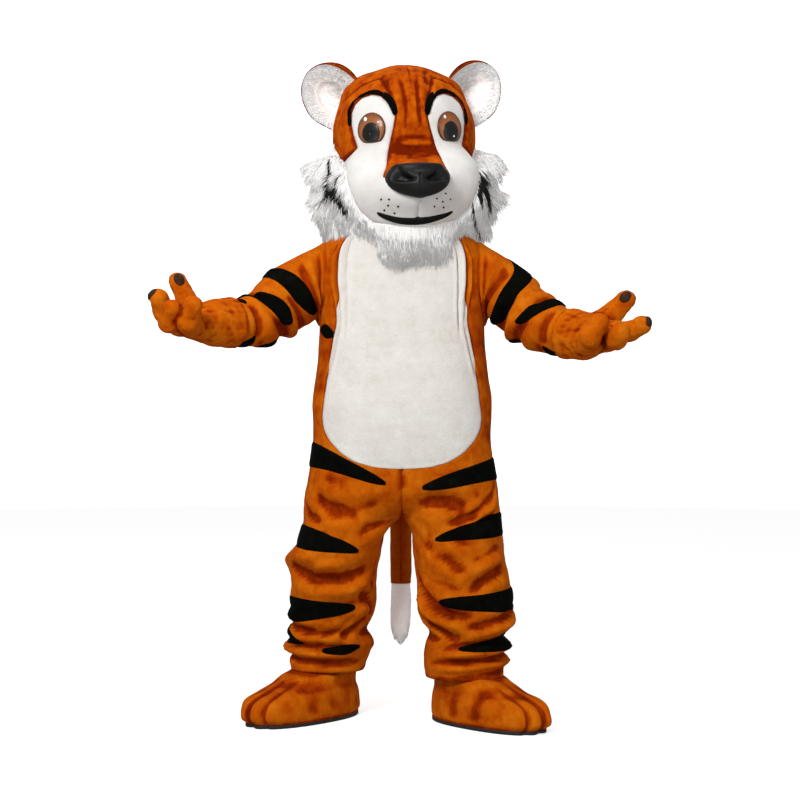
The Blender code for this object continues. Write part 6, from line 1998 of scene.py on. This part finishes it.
def ear(word, side):
    """A bowl of orange plush with a thick white fur lining; both are nets round the ear's middle."""
    ring, turn = disc(30, 96)
    lean, swing = math.radians(EAR["lean"]), math.radians(EAR["turn"])
    up = np.array([side * math.sin(lean), 0, math.cos(lean)])
    out = np.array([side * math.cos(lean) * math.cos(swing), math.sin(swing), -math.sin(lean)])
    back = unit(np.cross(up, out)) * side
    centre = np.array([side * EAR["x"], EAR["y"], EAR["height"]]) + up * EAR["rise"]

    def bowl(r, t):
        lift = (EAR_SHAPE["bowl"] + 0.012) * (1 - r**2)
        narrow = 1 - 0.34 * np.clip(-np.sin(t), 0, 1) ** 1.3
        longer = 1 + 0.34 * np.clip(-np.sin(t), 0, 1)
        place = (
            centre
            + (r * np.cos(t) * EAR_SHAPE["half_width"] * narrow)[..., None] * out
            + (r * np.sin(t) * EAR_SHAPE["half_height"] * longer)[..., None] * up
            + lift[..., None] * back
        )
        return place + (0.0028 * ripple(place, 0.06))[..., None] * back

    # the orange back shows past the lining on the upper inner side, where the ear turns into the crown
    shown = np.exp(-(((turn - 2.80) / 0.55) ** 2))
    points, normals = normals_of(bowl, ring, turn, centre - back * 0.3)
    wide = bowl(ring * (1 + 0.08 * shown), turn).reshape(-1, 3)
    lined = bowl(ring * (1 - 0.06 * shown), turn).reshape(-1, 3)
    points, normals = points.reshape(-1, 3), normals.reshape(-1, 3)
    normals = normals * np.sign((normals @ back).mean())
    quads = grid_quads(*ring.shape, around=True)
    flat = ring.ravel()
    plump = 0.0045 * np.sqrt(np.clip(1 - flat**6, 0, 1))
    world, turned = place_on_head(wide + normals * (0.0035 + plump)[:, None], normals)
    outer = shell(
        f"plush_ear_outer_{word}", world, turned, quads, 0.0035 + plump - 0.0002, HEAD_LOOK, "orange_plush",
        [f"ear_outer_{word}"],
    )  # fmt: skip
    closing = np.sqrt(np.clip(1 - flat**8, 0, 1))
    lining = 0.0035 + (0.006 + 0.016 * np.exp(-(((flat - 0.76) / 0.20) ** 2))) * closing
    world, turned = place_on_head(lined - normals * lining[:, None], -normals)

    def hollow_shade(places):
        """How far into the ear's hollow each place lies; there the lining and its hair are painted darker, as
        painted shade.
        """
        from_middle = places - centre
        across, height = from_middle @ out, from_middle @ up
        return np.exp(-(((across + 0.030) / 0.030) ** 2) - ((height - 0.006) / 0.040) ** 2)

    # painted shade: the lining is painted darker deeper in the ear's hollow
    extra = {"tone": np.zeros(len(flat)), "root": 0.20 + 1.25 * hollow_shade(points)}
    inner = shell(
        f"plush_ear_inner_{word}", world, turned, quads, lining - 0.0002, FUR_LOOK, "white_fur",
        [f"ear_inner_{word}"], extra=extra,
    )  # fmt: skip
    generator = np.random.default_rng(70 + side)
    count = 3200
    triangles = np.concatenate([quads[:, :3], quads[:, [0, 2, 3]]])
    base = lined - normals * lining[:, None]
    corners, weights = scattered(base, triangles, count, 80 + side)
    roots = blended(base, corners, weights)
    normal = -unit(blended(normals, corners, weights))
    r = blended(flat, corners, weights)
    from_centre = unit(roots - centre)
    low = blend_in((0.02 - (roots - centre) @ up) / 0.10)
    flow = up * (0.45 - 0.9 * low)[:, None] + out * 0.35 + normal * 0.35 + from_centre * 0.45
    flow = unit(flow + generator.normal(0, 0.14, (count, 3)))
    length = (0.011 + 0.011 * low) * generator.uniform(0.7, 1.25, count)
    length = np.where(r > 0.88, length * 0.75, length)
    droop = normal * 0.15 + generator.normal(0, 0.10, (count, 3))
    # painted shade: the hair is painted darker deeper in the ear's hollow
    painted_shade = 0.9 * hollow_shade(roots)
    rooted, flow = place_on_head(roots, flow)
    _, lie = place_on_head(roots, normal)
    width = generator.uniform(0.0008, 0.0013, count)
    fur = locks(
        f"fur_ear_{word}", rooted, flow, length, width, droop, np.zeros(count), 90 + side, lie, painted_shade - 0.15,
        per_clump=10,
    )  # fmt: skip
    return [outer, inner, fur]


def tail_fur():
    """Hair over the stuffed tip of the tail, ending in a point."""
    rings, normals = rod_rings(TAIL_TIP, 30, 24, 0.0)
    points, normals = rings.reshape(-1, 3), normals.reshape(-1, 3)
    quads = grid_quads(30, 24, around=True)
    triangles = np.concatenate([quads[:, :3], quads[:, [0, 2, 3]]])
    count = 2600
    corners, weights = scattered(points, triangles, count, 31)
    roots = blended(points, corners, weights)
    normal = unit(blended(normals, corners, weights))
    generator = np.random.default_rng(32)
    flow = unit(np.array([0, 0, -1.0]) + normal * 0.20 + generator.normal(0, 0.09, (count, 3)))
    length = generator.uniform(0.010, 0.018, count)
    width = generator.uniform(0.0008, 0.0014, count)
    droop = -normal * 0.15 + generator.normal(0, 0.06, (count, 3))
    none = np.zeros(count)
    return locks("fur_tail_tip", roots - normal * 0.002, flow, length, width, droop, none, 33, normal)


def whole_head():
    head = Head()
    made = {}
    plain = 0.0012 * ripple(head.points, 0.07)
    away = blend_in(head.from_seam / 0.014)
    wrinkles = head.wrinkled(head.points)
    for name in ("head_hood", "forehead_bridge", "brow_panel_right", "brow_panel_left"):
        proud = {"head_hood": 0.0045, "forehead_bridge": 0.0045}.get(name, 0.0062)
        rise = proud * (0.35 + 0.65 * away) + plain + wrinkles * (0.3 + 0.7 * away) * (name[:4] != "brow")
        made[name] = head.piece(name, HEAD_LOOK, "orange_plush", rise)
    for name in ("face_right", "face_left"):
        x, z = head.points[:, 0], head.points[:, 2]
        seam = np.exp(-((x / 0.0022) ** 2)) * blend_in((-0.15 - z) / 0.02)
        rise = plain * 0.8 - 0.0018 * seam
        made[name] = head.piece(name, FACE_LOOK, "white_fur", rise)
    made["fur"] = ruffs_and_beard(head)
    made["eyes"] = eyes(head)
    for word, side in SIDES.items():
        made[f"brow_{word}"] = strip(
            head, f"plush_brow_{word}", BROW, side, 0.0, 0.0055, BLACK_LOOK, "black_plush", [f"brow_{word}"]
        )
        made[f"ear_{word}"] = ear(word, side)
    made["mouth"] = strip(head, "felt_mouth", MOUTH, 1, -0.001, 0.0045, MOUTH_LOOK, "black_plush", ["mouth"])
    made["nose"] = nose(head)
    made["dots"] = dots(head)
    return made


# ---------------------------------------------------------------- the studio


def glow(name, colour, strength):
    """A plain emitting look for the backdrop."""
    n = Nodes(name)
    tint = n.ramp(n.noise(0.3), (0.3, colour), (0.7, (1.0, 1.0, 1.0)))
    n.link(tint, n.shader.inputs["Emission Color"])
    n.shader.inputs["Emission Strength"].default_value = strength
    return n.finish((0.9, 0.9, 0.9), 1.0, shine=0.0)


def staged(name, mesh, look):
    mesh.materials.append(look)
    obj = bpy.data.objects.new(name, mesh)
    bpy.context.scene.collection.objects.link(obj)
    return obj


def studio():
    """Soft light all round, a pale floor, and a white backdrop that only the camera sees."""
    world = bpy.data.worlds.new("studio")
    bpy.context.scene.world = world
    world.use_nodes = True
    world.node_tree.nodes["Background"].inputs["Color"].default_value = (1.0, 1.0, 1.0, 1)
    world.node_tree.nodes["Background"].inputs["Strength"].default_value = WORLD_LIGHT
    made = bmesh.new()
    bmesh.ops.create_circle(made, cap_ends=True, segments=64, radius=11)
    mesh = bpy.data.meshes.new("floor")
    made.to_mesh(mesh)
    made.free()
    floor = staged("floor", mesh, glow("pale_floor", (0.985, 0.985, 0.985), 0.62))
    floor.location.z = -HELD_HEIGHT
    floor.visible_diffuse = False
    floor.visible_glossy = False
    made = bmesh.new()
    bmesh.ops.create_uvsphere(made, u_segments=48, v_segments=24, radius=10.5)
    mesh = bpy.data.meshes.new("backdrop")
    made.to_mesh(mesh)
    made.free()
    backdrop = staged("backdrop", mesh, glow("white_backdrop", (0.99, 0.99, 0.99), 1.05))
    backdrop.visible_diffuse = False
    backdrop.visible_glossy = False
    backdrop.visible_transmission = False
    backdrop.visible_shadow = False


def lamp(name, place, size, watts, target=(0, 0, -0.4)):
    light = bpy.data.lights.new(name, "AREA")
    light.shape, light.size, light.size_y = "RECTANGLE", size[0], size[1]
    light.energy = watts
    obj = bpy.data.objects.new(name, light)
    obj.location = place
    obj.rotation_euler = (Vector(target) - Vector(place)).to_track_quat("-Z", "Y").to_euler()
    bpy.context.scene.collection.objects.link(obj)


def camera():
    lens = bpy.data.cameras.new("camera")
    lens.sensor_width = 36.0
    lens.lens = 77.6
    obj = bpy.data.objects.new("camera", lens)
    obj.location = (-0.0058, -5.0, 0.94 - HELD_HEIGHT)
    obj.rotation_euler = (math.radians(90), 0, 0)
    bpy.context.scene.collection.objects.link(obj)
    bpy.context.scene.camera = obj


# ---------------------------------------------------------------- the costume

camera()
studio()
lamp("key", (-1.6, -3.9, 1.9), (1.2, 1.2), 150.0)
lamp("fill", (2.8, -3.0, 0.2), (2.0, 2.0), 18.0)
lamp("top", (0.0, 0.2, 2.8), (2.0, 2.0), 24.0)
bpy.context.scene.view_settings.view_transform = "Standard"

sheets, spots = {}, []
for word, side in SIDES.items():
    sheets[f"front_{word}"] = panel(word, side, "front")
    sheets[f"back_{word}"] = panel(word, side, "back")
    sheets[f"sleeve_{word}"] = full_sleeve(word, side)
    sheets[f"glove_{word}"] = glove(word, side)
    sheets[f"foot_{word}"] = foot_cover(word, side)
    sole(word, side)
    spots += [pad(f"pad_{digit}_{word}", side, facts) for digit, facts in PADS.items()]
sheets["belly"] = belly()
bands = stripes()
tail = rod("plush_tail", TAIL, ORANGE_LOOK, "orange_plush", "tail", 90)
tip = rod("plush_tail_tip", TAIL_TIP, FUR_LOOK, "white_fur", "tail_tip", 34)
tail_fur()
head_parts = whole_head()

for obj, length, held in (
    *[(sheets[f"{which}_{word}"], 1.30, "hung") for which in ("front", "back") for word in SIDES],
    (sheets["belly"], 0.78, "hung"),
    *[(sheets[f"sleeve_{word}"], 0.42, "hung") for word in SIDES],
    *[(sheets[f"glove_{word}"], 0.30, "stretched") for word in SIDES],
    *[(sheets[f"foot_{word}"], 0.40, "stretched") for word in SIDES],
    *[(band, 0.20 if AREAS[band.name] > 0.006 else 0.08, "laid") for band in bands.values()],
    *[(spot, 0.045, "laid") for spot in spots],
    (head_parts["mouth"], 0.22, "laid"),
):
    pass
for word in SIDES:
    for obj in head_parts[f"ear_{word}"][:2]:
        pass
for coat in head_parts["fur"][::2]:
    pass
